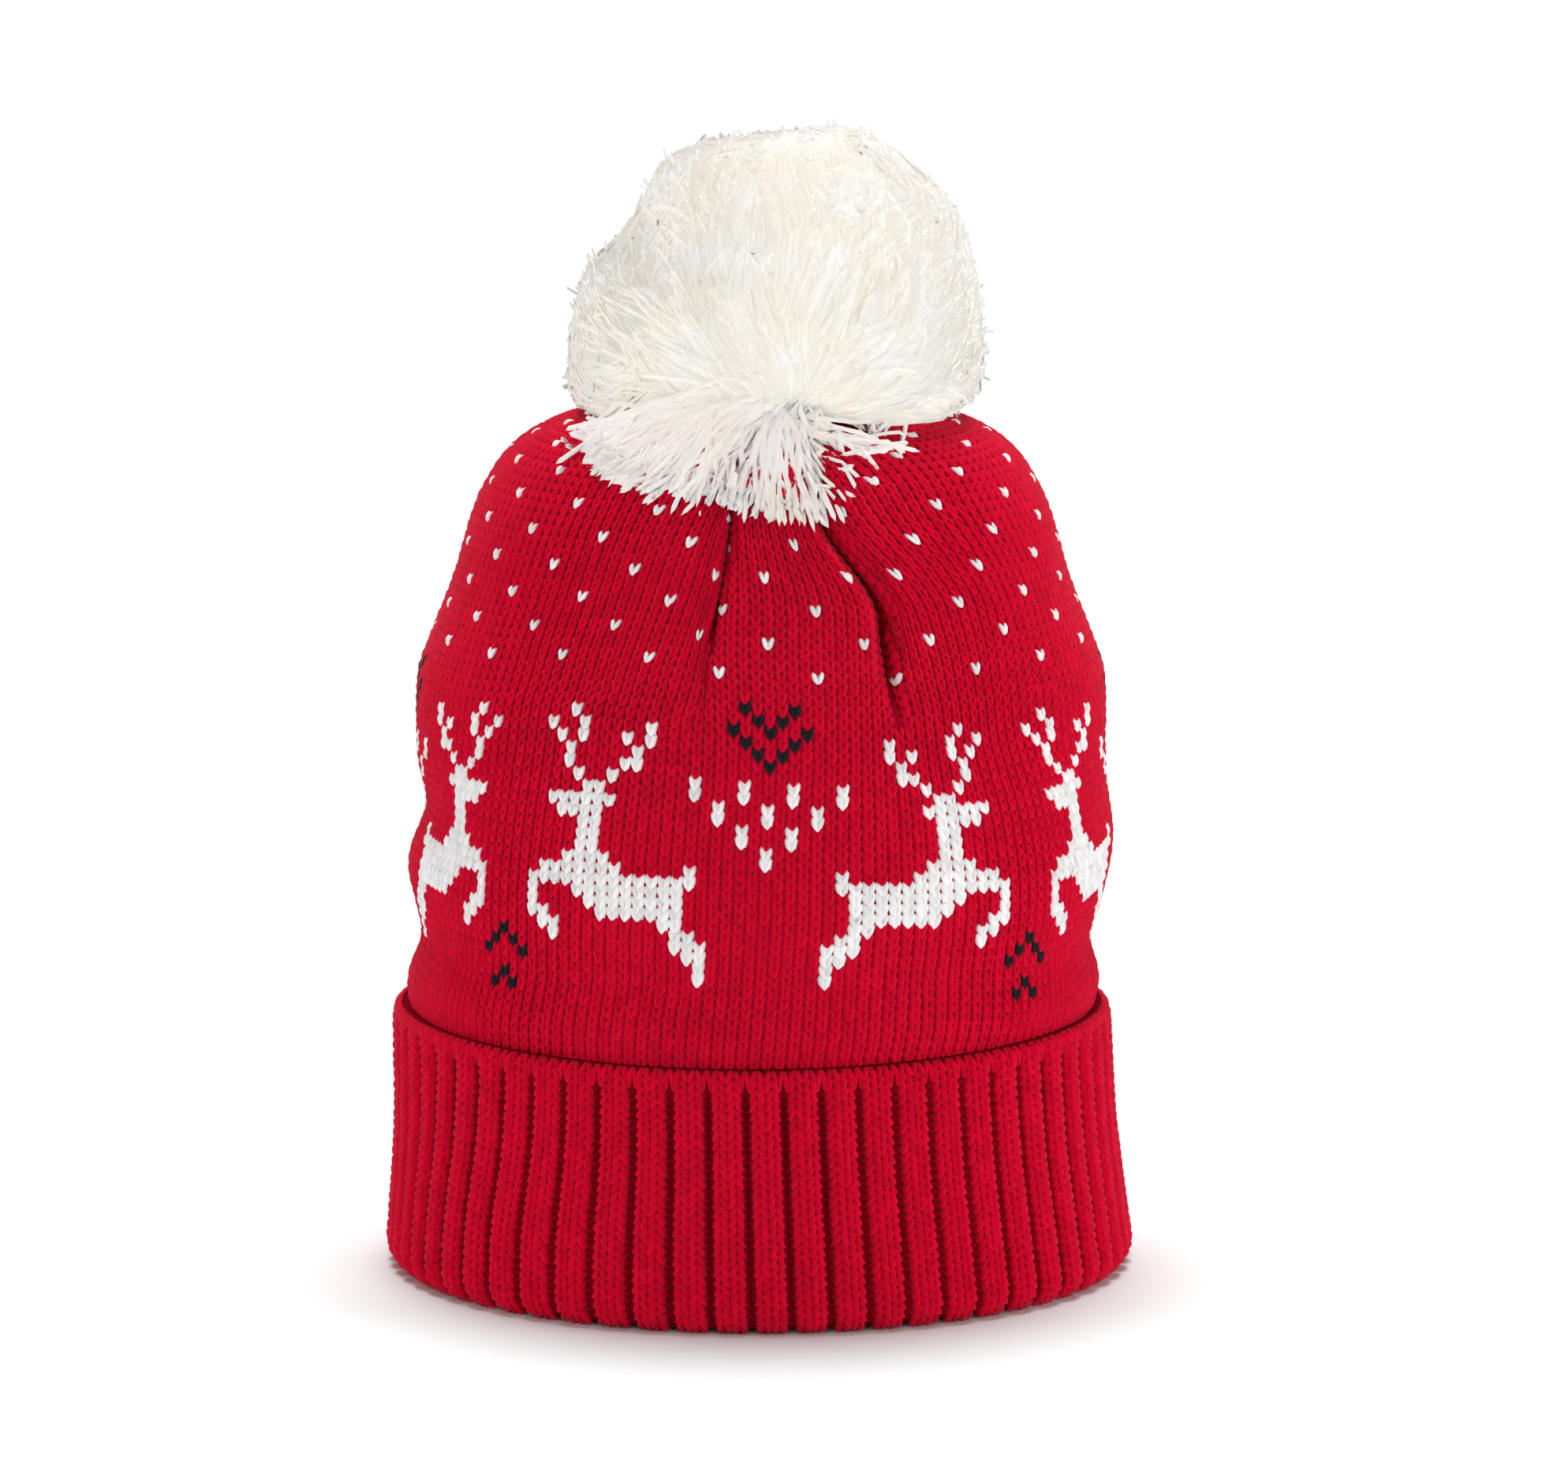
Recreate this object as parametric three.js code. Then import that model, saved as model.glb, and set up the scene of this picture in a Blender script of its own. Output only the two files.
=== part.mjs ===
// A knitted bobble hat that stands on its turned-up cuff. Millimetres, +Z up, the wearer's front towards -Y.
// The origin is on the floor, in the middle of the cuff's bottom fold.
// "around" is an angle in degrees from the front, positive towards +X.

import * as THREE from 'three';
// Cuff
const RIB_COUNT = 60;
const RIB_DEPTH = 2.0;
// How far the middle of the first rib is turned from the front, in degrees
const RIB_TURN = 2.1;
// Where the points of one rib stand, as shares of its pitch, and how deep each is, as shares of RIB_DEPTH
const RIB_POINTS = [
  { share: 0.0, depth: 1 },
  { share: 0.3, depth: 0 },
  { share: 0.7, depth: 0 },
];
const CORNER_RAISE = 1.2;
// The section of the folded band, once round: up the outer ply, down between the plies, down the inner ply.
// ribbed is the share of the rib relief, and raised the share of the lift that the top edge has at the
// sides.
const CUFF_SECTION = [
  { height: 0.0, radius: 91.6, ribbed: 0.0, raised: 0 },
  { height: 4.5, radius: 95.3, ribbed: 1.0, raised: 0 },
  { height: 13.0, radius: 94.6, ribbed: 1.0, raised: 0 },
  { height: 36.0, radius: 92.4, ribbed: 1.0, raised: 0 },
  { height: 63.0, radius: 91.5, ribbed: 1.0, raised: 1 },
  { height: 66.0, radius: 90.6, ribbed: 0.35, raised: 1 },
  { height: 66.0, radius: 87.8, ribbed: 0.0, raised: 1 },
  { height: 8.0, radius: 90.2, ribbed: 0.0, raised: 0 },
  { height: 7.0, radius: 89.4, ribbed: 0.0, raised: 0 },
  { height: 58.0, radius: 86.7, ribbed: 0.0, raised: 0 },
  { height: 58.0, radius: 84.1, ribbed: 0.0, raised: 0 },
  { height: 5.0, radius: 86.4, ribbed: 0.0, raised: 0 },
  { height: 0.0, radius: 88.8, ribbed: 0.0, raised: 0 },
];

// How far the middle of the hat stands towards +X at each height
const LEAN = [
  { height: 0, shift: 0 },
  { height: 25, shift: -0.8 },
  { height: 66, shift: -2.2 },
  { height: 86, shift: -0.6 },
  { height: 104, shift: 0.2 },
  { height: 220, shift: 0.5 },
];

// Crown
const CROWN_WALL = 2.6;
const FULL_RADIUS = 86.8;
const OUTER_ROWS = 20;
const INNER_ROWS = 9;
// The outer surface from the lower edge, behind the cuff's outer ply, to the gathered hole
const CROWN_PROFILE = [
  { height: 58.4, radius: 86.6 },
  { height: 66.0, radius: 86.6 },
  { height: 74.0, radius: 87.7 },
  { height: 86.0, radius: 86.4 },
  { height: 104.0, radius: 87.4 },
  { height: 128.0, radius: 86.9 },
  { height: 150.0, radius: 86.6 },
  { height: 160.0, radius: 83.8 },
  { height: 176.0, radius: 77.6 },
  { height: 192.0, radius: 72.9 },
  { height: 200.2, radius: 69.3 },
  { height: 208.3, radius: 63.6 },
  { height: 214.3, radius: 54.6 },
  { height: 218.2, radius: 41.0 },
  { height: 218.8, radius: 24.0 },
  { height: 215.6, radius: 7.0 },
];
// Dents and swells in the wall. wide is in degrees and tall in millimetres, each from middle to shoulder.
const DENTS = [
  { around: -92, height: 119, swell: -2.8, wide: 30, tall: 8 },
  { around: -92, height: 103, swell: 1.7, wide: 30, tall: 7 },
  { around: -92, height: 84, swell: -1.6, wide: 34, tall: 7 },
  { around: 92, height: 84, swell: -2.2, wide: 34, tall: 8 },
  { around: 92, height: 111, swell: 1.6, wide: 30, tall: 10 },
  { around: 160, height: 98, swell: -1.8, wide: 30, tall: 11 },
  { around: -150, height: 128, swell: -1.6, wide: 24, tall: 12 },
];
// Folds that take up the cloth as the crown closes in. low and top are the angles where a fold starts and
// where it meets the hole, start is the height where it begins and lean the one where it turns from low to
// top, and left and right are how wide its two sides are. columns is how many columns the panel to the
// fold's right has.
const FOLDS = [
  { low: -96, top: -92, start: 166, lean: 166, depth: 7, left: 5, right: 8, columns: 18 },
  { low: -9.6, top: -7.0, start: 163, lean: 163, depth: 8, left: 4, right: 9, columns: 8 },
  { low: 25.0, top: 14.0, start: 146, lean: 176, depth: 11, left: 11, right: 4, columns: 16 },
  { low: 98, top: 94, start: 166, lean: 166, depth: 7, left: 8, right: 5, columns: 10 },
  { low: 137, top: 140, start: 158, lean: 158, depth: 9, left: 8, right: 6, columns: 10 },
  { low: 176, top: 178, start: 152, lean: 152, depth: 9, left: 6, right: 9, columns: 10 },
  { low: 217, top: 222, start: 160, lean: 160, depth: 8, left: 7, right: 7, columns: 12 },
];
const FOLD_RISE = 30;
const FOLD_LEAN_END = 204;
const FOLD_SLOT = 0.6;
const HOLE_RADIUS = CROWN_PROFILE.at(-1).radius;
const FLAT_TOP_RADIUS = 56;
const LEAST_FOLD = 0.08;
const MOST_TUCKED = 0.9;
const WIDEST_FLANK = 0.6;
const SQUEEZE_BLEND = 0.12;

// Pompom: the outline that the cut yarn ends reach
const POMPOM_PROFILE = [
  { height: 220.4, radius: 0, shift: 3.0 },
  { height: 220.4, radius: 24, shift: 3.0 },
  { height: 219.6, radius: 45, shift: 3.0 },
  { height: 225.0, radius: 52.4, shift: 3.5 },
  { height: 238.0, radius: 52.4, shift: 3.8 },
  { height: 252.0, radius: 50.0, shift: 4.4 },
  { height: 264.0, radius: 44.5, shift: 6.0 },
  { height: 274.0, radius: 37.5, shift: 7.0 },
  { height: 282.5, radius: 28.0, shift: 7.0 },
  { height: 288.0, radius: 15.0, shift: 8.5 },
  { height: 289.5, radius: 0, shift: 9.0 },
];
// The locks stand in a diamond grid. Their tips are on the outline, and the gaps between them lie nearer
// the middle.
const LOCK_COLUMNS = 36;
const LOCK_ROWS = 17;
const LOCK_GAP_SHARE = 0.87;
const FIRST_LOCK_ROW = 4;
const POMPOM_MIDDLE = 236;
// Tie: a knot under the hole and a stem up to the pompom
const TIE_PROFILE = [
  { height: 206.5, radius: 0 },
  { height: 206.5, radius: 7.5 },
  { height: 208.5, radius: 9.5 },
  { height: 211.0, radius: 9.0 },
  { height: 212.2, radius: 5.4 },
  { height: 219.9, radius: 5.4 },
  { height: 219.9, radius: 0 },
];
const TIE_SIDES = 8;

const RED = new THREE.MeshStandardMaterial({ color: 0xc4112b, roughness: 0.95, metalness: 0 });
const CUFF_RED = new THREE.MeshStandardMaterial({ color: 0xbd0f29, roughness: 0.95, metalness: 0 });
const CREAM = new THREE.MeshStandardMaterial({ color: 0xf4efe0, roughness: 0.98, metalness: 0 });
const TIE_CREAM = new THREE.MeshStandardMaterial({ color: 0xe9e2d2, roughness: 0.95, metalness: 0 });

const radians = THREE.MathUtils.degToRad;
const mix = THREE.MathUtils.lerp;
const smooth = THREE.MathUtils.smoothstep;

// Straight-line reading of a table's column at a height
function readTable(rows, height, column) {
  const after = rows.findIndex((row) => row.height >= height);
  if (after < 0) return rows.at(-1)[column];
  if (after === 0) return rows[0][column];
  const a = rows[after - 1];
  const b = rows[after];
  return mix(a[column], b[column], (height - a.height) / (b.height - a.height));
}

// A point at a distance from the hat's own leaning axis
function place(around, radius, height, shift = readTable(LEAN, height, 'shift')) {
  const angle = radians(around);
  return new THREE.Vector3(shift + radius * Math.sin(angle), -radius * Math.cos(angle), height);
}

// Closes a list of equal rings, each a list of points anticlockwise from above, into a ring-shaped body.
// The rings go up the outside and down the inside.
function closedRings(rings) {
  const columns = rings[0].length;
  const index = [];
  rings.forEach((_, j) => {
    const next = ((j + 1) % rings.length) * columns;
    for (let i = 0; i < columns; i++) {
      const k = (i + 1) % columns;
      index.push(j * columns + i, j * columns + k, next + k, j * columns + i, next + k, next + i);
    }
  });
  return new THREE.BufferGeometry().setFromPoints(rings.flat()).setIndex(index);
}

function makeCuff() {
  const pitch = 360 / RIB_COUNT;
  const ring = (row) => {
    const points = [];
    for (let rib = 0; rib < RIB_COUNT; rib++) {
      for (const point of RIB_POINTS) {
        const around = (rib + point.share - 0.5) * pitch + RIB_TURN;
        const radius = row.radius - RIB_DEPTH * row.ribbed * point.depth;
        const lift = CORNER_RAISE * row.raised * Math.sin(radians(around)) ** 2;
        points.push(place(around, radius, row.height + lift, readTable(LEAN, row.height, 'shift')));
      }
    }
    return points;
  };
  return closedRings(CUFF_SECTION.map(ring));
}

const profilePoints = (rows) => rows.map((row) => new THREE.Vector2(row.radius, row.height));
const profileCurve = (rows) => new THREE.SplineCurve(profilePoints(rows));
const crownCurve = profileCurve(CROWN_PROFILE);

// How far the dents push the wall outwards
function dentAt(around, height) {
  return DENTS.reduce((sum, dent) => {
    const turn = ((around - dent.around + 540) % 360) - 180;
    const rise = (height - dent.height) / dent.tall;
    return sum + dent.swell * Math.exp(-((turn / dent.wide) ** 2) - rise ** 2);
  }, 0);
}

function foldAngle(fold, height) {
  return mix(fold.low, fold.top, smooth(height, fold.lean, FOLD_LEAN_END));
}

// Spreads the columns of a panel: full-size cloth in the middle, and the rest squeezed into the folds
function squeeze(t, gather, slack) {
  const bent = (x) => {
    const open = gather * x;
    const tucked = 1 - slack * (1 - x);
    const near = Math.max(SQUEEZE_BLEND - Math.abs(open - tucked), 0) / SQUEEZE_BLEND;
    return Math.min(open, tucked) - (near * near * SQUEEZE_BLEND) / 4;
  };
  return (Math.sign(t) * bent(Math.abs(t))) / bent(1);
}

// One point of the crown's wall. share runs along the profile, t from -1 to 1 across the panel from its left
// fold to its right one, and wall is 0 on the outer surface and the wall's thickness on the inner one.
function crownPoint(panel, t, share, wall) {
  const point = crownCurve.getPointAt(share);
  const tangent = crownCurve.getTangentAt(share);
  const outward = new THREE.Vector2(tangent.y, -tangent.x);
  const left = foldAngle(panel.left, point.y);
  const right = foldAngle(panel.right, point.y);
  const half = (right - left) / 2;
  const cloth = radians(half) * FULL_RADIUS;
  const gather = Math.max(FULL_RADIUS / Math.max(point.x, HOLE_RADIUS), 1);
  const fold = t < 0 ? panel.left : panel.right;
  const side = t < 0 ? fold.right : fold.left;
  const tucked = Math.min(Math.max(1 - 1 / gather, side / cloth), MOST_TUCKED);
  const deep = Math.max((Math.abs(t) - (1 - tucked)) / tucked, 0);
  const rise = smooth(point.y, fold.start, fold.start + FOLD_RISE);
  const shrink = THREE.MathUtils.clamp((point.x - HOLE_RADIUS) / FLAT_TOP_RADIUS, LEAST_FOLD, 1);
  const depth = fold.depth * rise * shrink * deep * deep * (3 - 2 * deep);
  const flank = Math.min((wall + FOLD_SLOT) / radians(half) / Math.max(point.x, HOLE_RADIUS), WIDEST_FLANK);
  const slack = Math.min(flank / tucked, 1);
  const around = (left + right) / 2 + half * squeeze(t, gather, slack);
  const swell = dentAt(around, point.y) - depth - wall;
  return place(around, point.x + outward.x * swell, point.y + outward.y * swell);
}

function makeCrown() {
  const panels = FOLDS.map((left, i) => {
    const next = FOLDS[(i + 1) % FOLDS.length];
    const turn = i + 1 < FOLDS.length ? 0 : 360;
    return { left, right: { ...next, low: next.low + turn, top: next.top + turn } };
  });
  const ring = (share, wall) =>
    panels.flatMap((panel) => {
      const columns = panel.left.columns;
      const across = Array.from({ length: columns }, (_, i) => (2 * i) / columns - 1);
      return across.map((t) => crownPoint(panel, t, share, wall));
    });
  const outer = Array.from({ length: OUTER_ROWS }, (_, i) => ring(i / (OUTER_ROWS - 1), 0));
  const inner = Array.from({ length: INNER_ROWS }, (_, i) => ring(1 - i / (INNER_ROWS - 1), CROWN_WALL));
  return closedRings([...outer, ...inner]);
}

const pompomCurve = profileCurve(POMPOM_PROFILE);
const pompomSide = POMPOM_PROFILE.slice(2);

// A head whose upper rows are raised into locks of yarn, each a point of the grid between four lower ones.
// The loose strands that hang from under it are left out.
function makePompom() {
  const inner = pompomCurve.getSpacedPoints(LOCK_ROWS).slice(1, -1);
  const points = [place(0, 0, POMPOM_PROFILE[0].height, POMPOM_PROFILE[0].shift)];
  inner.forEach((p, j) => {
    for (let i = 0; i < LOCK_COLUMNS; i++) {
      const gap = j >= FIRST_LOCK_ROW && (i + j) % 2 === 1;
      const share = gap ? LOCK_GAP_SHARE : 1;
      const height = POMPOM_MIDDLE + (p.y - POMPOM_MIDDLE) * share;
      const shift = readTable(pompomSide, p.y, 'shift');
      points.push(place((360 * i) / LOCK_COLUMNS, p.x * share, height, shift));
    }
  });
  points.push(place(0, 0, POMPOM_PROFILE.at(-1).height, POMPOM_PROFILE.at(-1).shift));
  const index = [];
  const last = points.length - 1;
  for (let i = 0; i < LOCK_COLUMNS; i++) {
    const k = (i + 1) % LOCK_COLUMNS;
    index.push(0, 1 + k, 1 + i);
    for (let j = 0; j + 1 < inner.length; j++) {
      const low = 1 + j * LOCK_COLUMNS;
      const high = low + LOCK_COLUMNS;
      const [a, b, c, d] = [low + i, low + k, high + k, high + i];
      // Each square is split between its two lower points, so that every lock is a point with four sides
      index.push(...((i + j) % 2 === 1 ? [a, b, c, a, c, d] : [a, b, d, b, c, d]));
    }
    index.push(last - LOCK_COLUMNS + i, last - LOCK_COLUMNS + k, last);
  }
  return new THREE.BufferGeometry().setFromPoints(points).setIndex(index);
}

function makeTie() {
  const geometry = new THREE.LatheGeometry(profilePoints(TIE_PROFILE), TIE_SIDES);
  geometry.rotateX(Math.PI / 2);
  geometry.translate(readTable(LEAN, TIE_PROFILE[0].height, 'shift'), 0, 0);
  return geometry;
}

const hat = new THREE.Group();
const pieces = [
  ['cuff', makeCuff(), CUFF_RED],
  ['crown', makeCrown(), RED],
  ['pompom', makePompom(), CREAM],
  ['pompom_tie', makeTie(), TIE_CREAM],
];
pieces.forEach(([name, geometry, material]) => {
  const mesh = new THREE.Mesh(geometry, material);
  mesh.name = name;
  hat.add(mesh);
});

export default hat;
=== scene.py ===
"""A knitted bobble hat that stands on its turned-up ribbed cuff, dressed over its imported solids.

Tables and working sizes are in millimetres, as a knitter would measure them, and MM turns them to metres
where a mesh is made. +Z is up and the wearer's front is towards -Y. "around" is an angle in degrees from the
front, positive towards +X, and "travel" is a distance along a profile from its lower end.
"""

import math

import bpy
import numpy as np
from bpy.props import FloatProperty, FloatVectorProperty, IntProperty, PointerProperty
from bpy.types import Operator, Panel, PropertyGroup
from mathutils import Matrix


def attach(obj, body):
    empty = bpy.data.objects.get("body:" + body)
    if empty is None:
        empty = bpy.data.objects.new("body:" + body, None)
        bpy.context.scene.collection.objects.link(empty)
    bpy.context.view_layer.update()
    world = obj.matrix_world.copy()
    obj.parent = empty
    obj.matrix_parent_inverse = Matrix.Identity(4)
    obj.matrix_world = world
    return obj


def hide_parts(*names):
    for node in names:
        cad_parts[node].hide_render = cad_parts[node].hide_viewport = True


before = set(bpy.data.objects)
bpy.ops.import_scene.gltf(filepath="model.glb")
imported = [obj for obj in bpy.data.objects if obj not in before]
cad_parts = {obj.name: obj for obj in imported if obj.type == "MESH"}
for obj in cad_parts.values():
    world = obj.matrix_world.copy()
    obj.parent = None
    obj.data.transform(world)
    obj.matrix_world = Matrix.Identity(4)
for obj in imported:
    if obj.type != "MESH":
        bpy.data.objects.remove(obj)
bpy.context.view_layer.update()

bl_info = {
    "name": "Knitted bobble hat",
    "version": (1, 0, 0),
    "blender": (4, 5, 0),
    "location": "View3D > Sidebar > Bobble hat",
    "description": "Knits a bobble hat stitch by stitch over its solids",
    "category": "Mesh",
}

MM = 0.001
# What the random places of each group start from, so that every run gives the same hat
CROWN_SEED = 11
CUFF_SEED = 12
POMPOM_SEED = 13


def table(columns, *rows):
    """A short table as one array for each named column."""
    return dict(zip(columns.split(), np.array(rows, float).T))


# How far the middle of the hat stands towards +X at each height
LEAN = table(
    "height shift",
    (0, 0),
    (25, -0.8),
    (66, -2.2),
    (86, -0.6),
    (104, 0.2),
    (220, 0.5),
)

# Crown: the outer surface from the lower edge, behind the cuff, to the gathered hole
CROWN_PROFILE = table(
    "height radius",
    (58.4, 86.6),
    (66.0, 86.6),
    (74.0, 87.7),
    (86.0, 86.4),
    (104.0, 87.4),
    (128.0, 86.9),
    (150.0, 86.6),
    (160.0, 83.8),
    (176.0, 77.6),
    (192.0, 72.9),
    (200.2, 69.3),
    (208.3, 63.6),
    (214.3, 54.6),
    (218.2, 41.0),
    (218.8, 24.0),
    (215.6, 7.0),
)
CROWN_WALL = 2.6
FULL_RADIUS = 86.8
# Dents and swells in the wall. wide is in degrees and tall in millimetres, each from middle to shoulder.
DENTS = table(
    "around height swell wide tall",
    (-92, 119, -2.8, 30, 8),
    (-92, 103, 1.7, 30, 7),
    (-92, 84, -1.6, 34, 7),
    (92, 84, -2.2, 34, 8),
    (92, 111, 1.6, 30, 10),
    (160, 98, -1.8, 30, 11),
    (-150, 128, -1.6, 24, 12),
)
# Folds that take up the cloth as the crown closes in: where each starts and where it meets the hole, the
# heights where it begins and where it begins to lean, and how wide its two sides are
FOLDS = table(
    "low top start lean depth left right",
    (-96, -92, 166, 166, 7, 5, 8),
    (-9.6, -7.0, 163, 163, 8, 4, 9),
    (25.0, 14.0, 146, 176, 11, 11, 4),
    (98, 94, 166, 166, 7, 8, 5),
    (137, 140, 158, 158, 9, 8, 6),
    (176, 178, 152, 152, 9, 6, 9),
    (217, 222, 160, 160, 8, 7, 7),
)
# How far above its start a fold is full, where its lean ends, and the slot that it closes to
FOLD_RISE = 30
FOLD_LEAN_END = 204
FOLD_SLOT = 0.6
# The gathered hole. Within this distance of it the folds flatten, down to this share of their depth.
HOLE_RADIUS = 7.0
FLAT_TOP_RADIUS = 56
LEAST_FOLD = 0.08
# The most of a panel's half that is tucked away, the widest that its flank stays, and how softly both set in
MOST_TUCKED = 0.9
WIDEST_FLANK = 0.6
SQUEEZE_BLEND = 0.12
BLEND_GATHER = 0.12

# Knit: how far the wales lean to the right at each height, in degrees
WALE_LEAN = table("height turn", (66, 1.4), (90, 1.4), (118, 1.7), (143, 2.4), (160, 2.5))
FOLD_TURN = 2.5
# The cloth is stretched wider to each side of the front, and its rows sag there
FRONT_STRETCH = 3.0
STRETCH_FADE = (110, 165)
ROW_SAGS = table(
    "around height swell wide tall",
    (52, 78, 7.0, 27, 60),
    (-48, 83, 2.8, 25, 60),
    (20, 135, 2.3, 26, 40),
    (-30, 160, -4.5, 18, 22),
)
# Where the cloth has slipped sideways, in degrees to the right
WALE_SHIFTS = table(
    "around height swell wide tall",
    (60, 90, 3.0, 30, 30),
    (52, 148, -4.6, 22, 17),
    (-35, 150, 1.0, 25, 25),
)
# The row through the middle of the deer's head, as a height at the front
HEAD_ROW_HEIGHT = 131.9
LOWEST_ROW = -26
# Rows are found on the part of the profile that is lower than the top by this
RISING_MARGIN = 1.0
# Stitches start at this travel, and end where the crown is this narrow, under the pompom
LEAST_TRAVEL = 4.6
TOP_RADIUS = 43.0
# Stitches further into a fold than this share are left out where the fold is deeper than this
DEEPEST_STITCH = 0.72
SHALLOW_FOLD = 0.5

# The chart repeats every 44 wales and is a mirror image about wales 0 and 22, so half of it is drawn, from
# wale 0 to wale 22. w is white, k is black and a dot is the red ground. The first line is the highest row.
CHART_TOP = 9
HALF_REPEAT = 22
CHART = """
..k....................
.k.....................
k..k.............w.....
..k.......w.....w..w...
.k........w.w...w.w....
k..........w.....w.....
...........ww....w.....
..w...w......w..w......
..w...w.......ww.......
w...w........wwwwww....
w...w.........wwww.....
..w...........ww.......
..w...........ww.......
w.............ww.......
w............wwww......
......w.....wwwwwww....
......wwwwwwwwwwwwww...
.......wwwwwwwww...w...
.......wwwwwwww....w...
.......wwwwwww....ww...
.......ww........ww....
......ww.........w....k
.....www.............k.
.....ww.............k..
.....w.................
.....w................k
.....................k.
""".split()
# Single white stitches above the deer, in rows that take turns
DOT_FIRST_ROW = 12
DOT_ROW_STEP = 3
DOT_WALE_STEP = 8
RED, WHITE, BLACK = range(3)
YARN_KEYS = {".": RED, "w": WHITE, "k": BLACK}

# One leg of a V stitch: offsets from its middle across and along the wale, its height over the cloth and half
# its width. Its lower end lies over the row below and its upper end dips behind the row above. It leans to
# the right, and a left leg is its mirror image.
LEG = table(
    "across along lift wide",
    (-0.50, -1.95, 0.10, 0.0),
    (-0.36, -1.25, 0.66, 0.58),
    (0.0, 0.0, 0.80, 0.72),
    (0.30, 1.20, 0.40, 0.64),
    (0.50, 2.20, -0.45, 0.0),
)
# The flat of yarn behind both legs of a white or black stitch, in the same columns from the right leg
PAD = table(
    "across along lift wide",
    (-0.62, -1.7, -0.1, 0.0),
    (-0.62, -0.9, 0.12, 1.30),
    (-0.62, 0.2, 0.18, 1.42),
    (-0.62, 1.1, 0.05, 1.30),
    (-0.62, 1.9, -0.3, 0.0),
)
LEG_LEAN = math.radians(16)
LEG_EDGE_LIFT = -0.15
LEG_SIDES = np.array([-1, 0, 1])
LEG_OFFSET = 0.2
LEG_JITTER = 0.05
# How a leg lies on its fibre map: the map's steps in a millimetre, and how far the shade moves it along
FIBRE_SCALE = 0.5
FIBRE_SHIFT = 7
BACKING_DROP = 0.35
# White and black yarn are a little thicker than red
WHITE_SIZE = 1.25
BLACK_SIZE = 1.1
# The single white stitches are drawn in by the red ones round them, and are this share of a leg's length
DOT_SIZE = 1.06
DOT_LENGTH = 0.84
DOT_LEG = dict(LEG, along=LEG["along"] * DOT_LENGTH)
# Stray fibres: their sides and half their thickness, how far they curl, in radians, how far they reach, and
# how high over the cloth they start and rise
FUZZ_SIDES = 3
FUZZ_RADIUS = 0.05
FUZZ_CURL = 0.6
FUZZ_REACH = (1.5, 4.0)
FUZZ_START = 0.4
FUZZ_RISE = (0.3, 1.1)
# How dark and how light the stitches of one yarn get, as shares of its colour
YARN_SHADES = (0.88, 1.084)
# How much of a stitch's own roundness is lost in its fuzz
KNIT_SOFTNESS = 0.4
# Between these shares of facing outward, yarn goes over from its own normals to softened ones
UNDERSIDE = (-1.0, -0.5)
# The step that is taken on a surface to find its normal
SURFACE_STEP = 0.02
# The wall under the stitches: its rows outside and inside, and how much darker than the yarn it is painted,
# as painted shade in the gaps between the stitches
CROWN_ROWS = (72, 30)
CROWN_BACKING_PAINTED_SHADE = 0.9

# Cuff: the path of the rib tops, under the stitches, from inside the bottom fold to the rim.
# ribbed is the share of the rib relief, and raised the share of the lift that the rim has at the sides.
CUFF_PATH = table(
    "height radius ribbed raised",
    (4.6, 87.6, 0.3, 0),
    (1.6, 89.0, 0.7, 0),
    (1.1, 91.6, 1.0, 0),
    (4.9, 94.5, 1.0, 0),
    (13.0, 93.8, 1.0, 0),
    (36.0, 91.6, 1.0, 0),
    (50.0, 91.1, 1.0, 0.6),
    (58.4, 90.9, 0.95, 0.95),
    (61.8, 90.8, 0.4, 1),
    (64.0, 90.4, 0.05, 1),
    (65.4, 89.8, 0.0, 1),
    (66.0, 88.8, 0.0, 1),
)
# The rest of the folded band's section, down between the plies and down the inner ply
CUFF_INSIDE = table(
    "height radius ribbed raised",
    (66.0, 86.9, 0.0, 1),
    (8.0, 89.6, 0.0, 0),
    (7.0, 89.4, 0.0, 0),
    (58.0, 86.7, 0.0, 0),
    (58.0, 84.1, 0.0, 0),
    (40.0, 85.0, -0.3, 0),
    (20.0, 85.7, -0.3, 0),
    (6.0, 86.4, -0.2, 0),
)
# How much higher the rim is at the sides, and how far the ribs are turned to the right, in degrees
CORNER_RAISE = 1.2
RIB_TURN = 2.1
# A rib's crest is a little round, and its flanks start at this share of the pitch from its middle
RIB_CREST = 0.48
RIB_FLANK = 0.31
# The leg columns that show on one rib, from three wales whose outer legs roll out of sight into the valleys.
# slant is 1 where the leg leans to the right, and size is its share of a whole leg's width and height.
RIB_LEGS = table(
    "share slant size",
    (-0.29, 1, 1.28),
    (-0.095, -1, 1.34),
    (0.095, 1, 1.34),
    (0.29, -1, 1.28),
)
# The columns that close each valley in the band under the rim
RIM_LEGS = table("share slant size", (-0.45, -1, 1.2), (0.45, 1, 1.2))
RIM_BAND = 3.8
# The smaller legs in the row below it, which bring each valley to a point
POINT_LEGS = table("share slant size", (-0.42, -1, 0.85), (0.42, 1, 0.85))
# How far the lower ends of the ribs fan sideways, in degrees, around the hat
RIB_FAN = table(
    "around height swell wide tall",
    (-48, 15, -3.8, 28, 28),
    (55, 8, 1.2, 30, 40),
    (150, 0, 1.6, 40, 48),
    (-150, 0, -1.2, 36, 48),
)
# The lowest row of legs, and how near to the rim's end the last may be
FIRST_RIB_ROW = 1.0
RIM_MARGIN = 0.6
# Where the stray fibres begin, as a share of the path
CUFF_FUZZ_START = 0.1
# The wall under the stitches: its columns on a rib, its rows outside, the wales in a rib and the rows once
# round its section, and how much darker than the yarn it is painted, as painted shade in the valleys
# between the ribs and in the gaps between the stitches
RIB_COLUMNS = 8
CUFF_ROWS = 26
RIB_WALES = 4
SECTION_ROWS = 52
CUFF_BACKING_PAINTED_SHADE = 0.75

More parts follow.
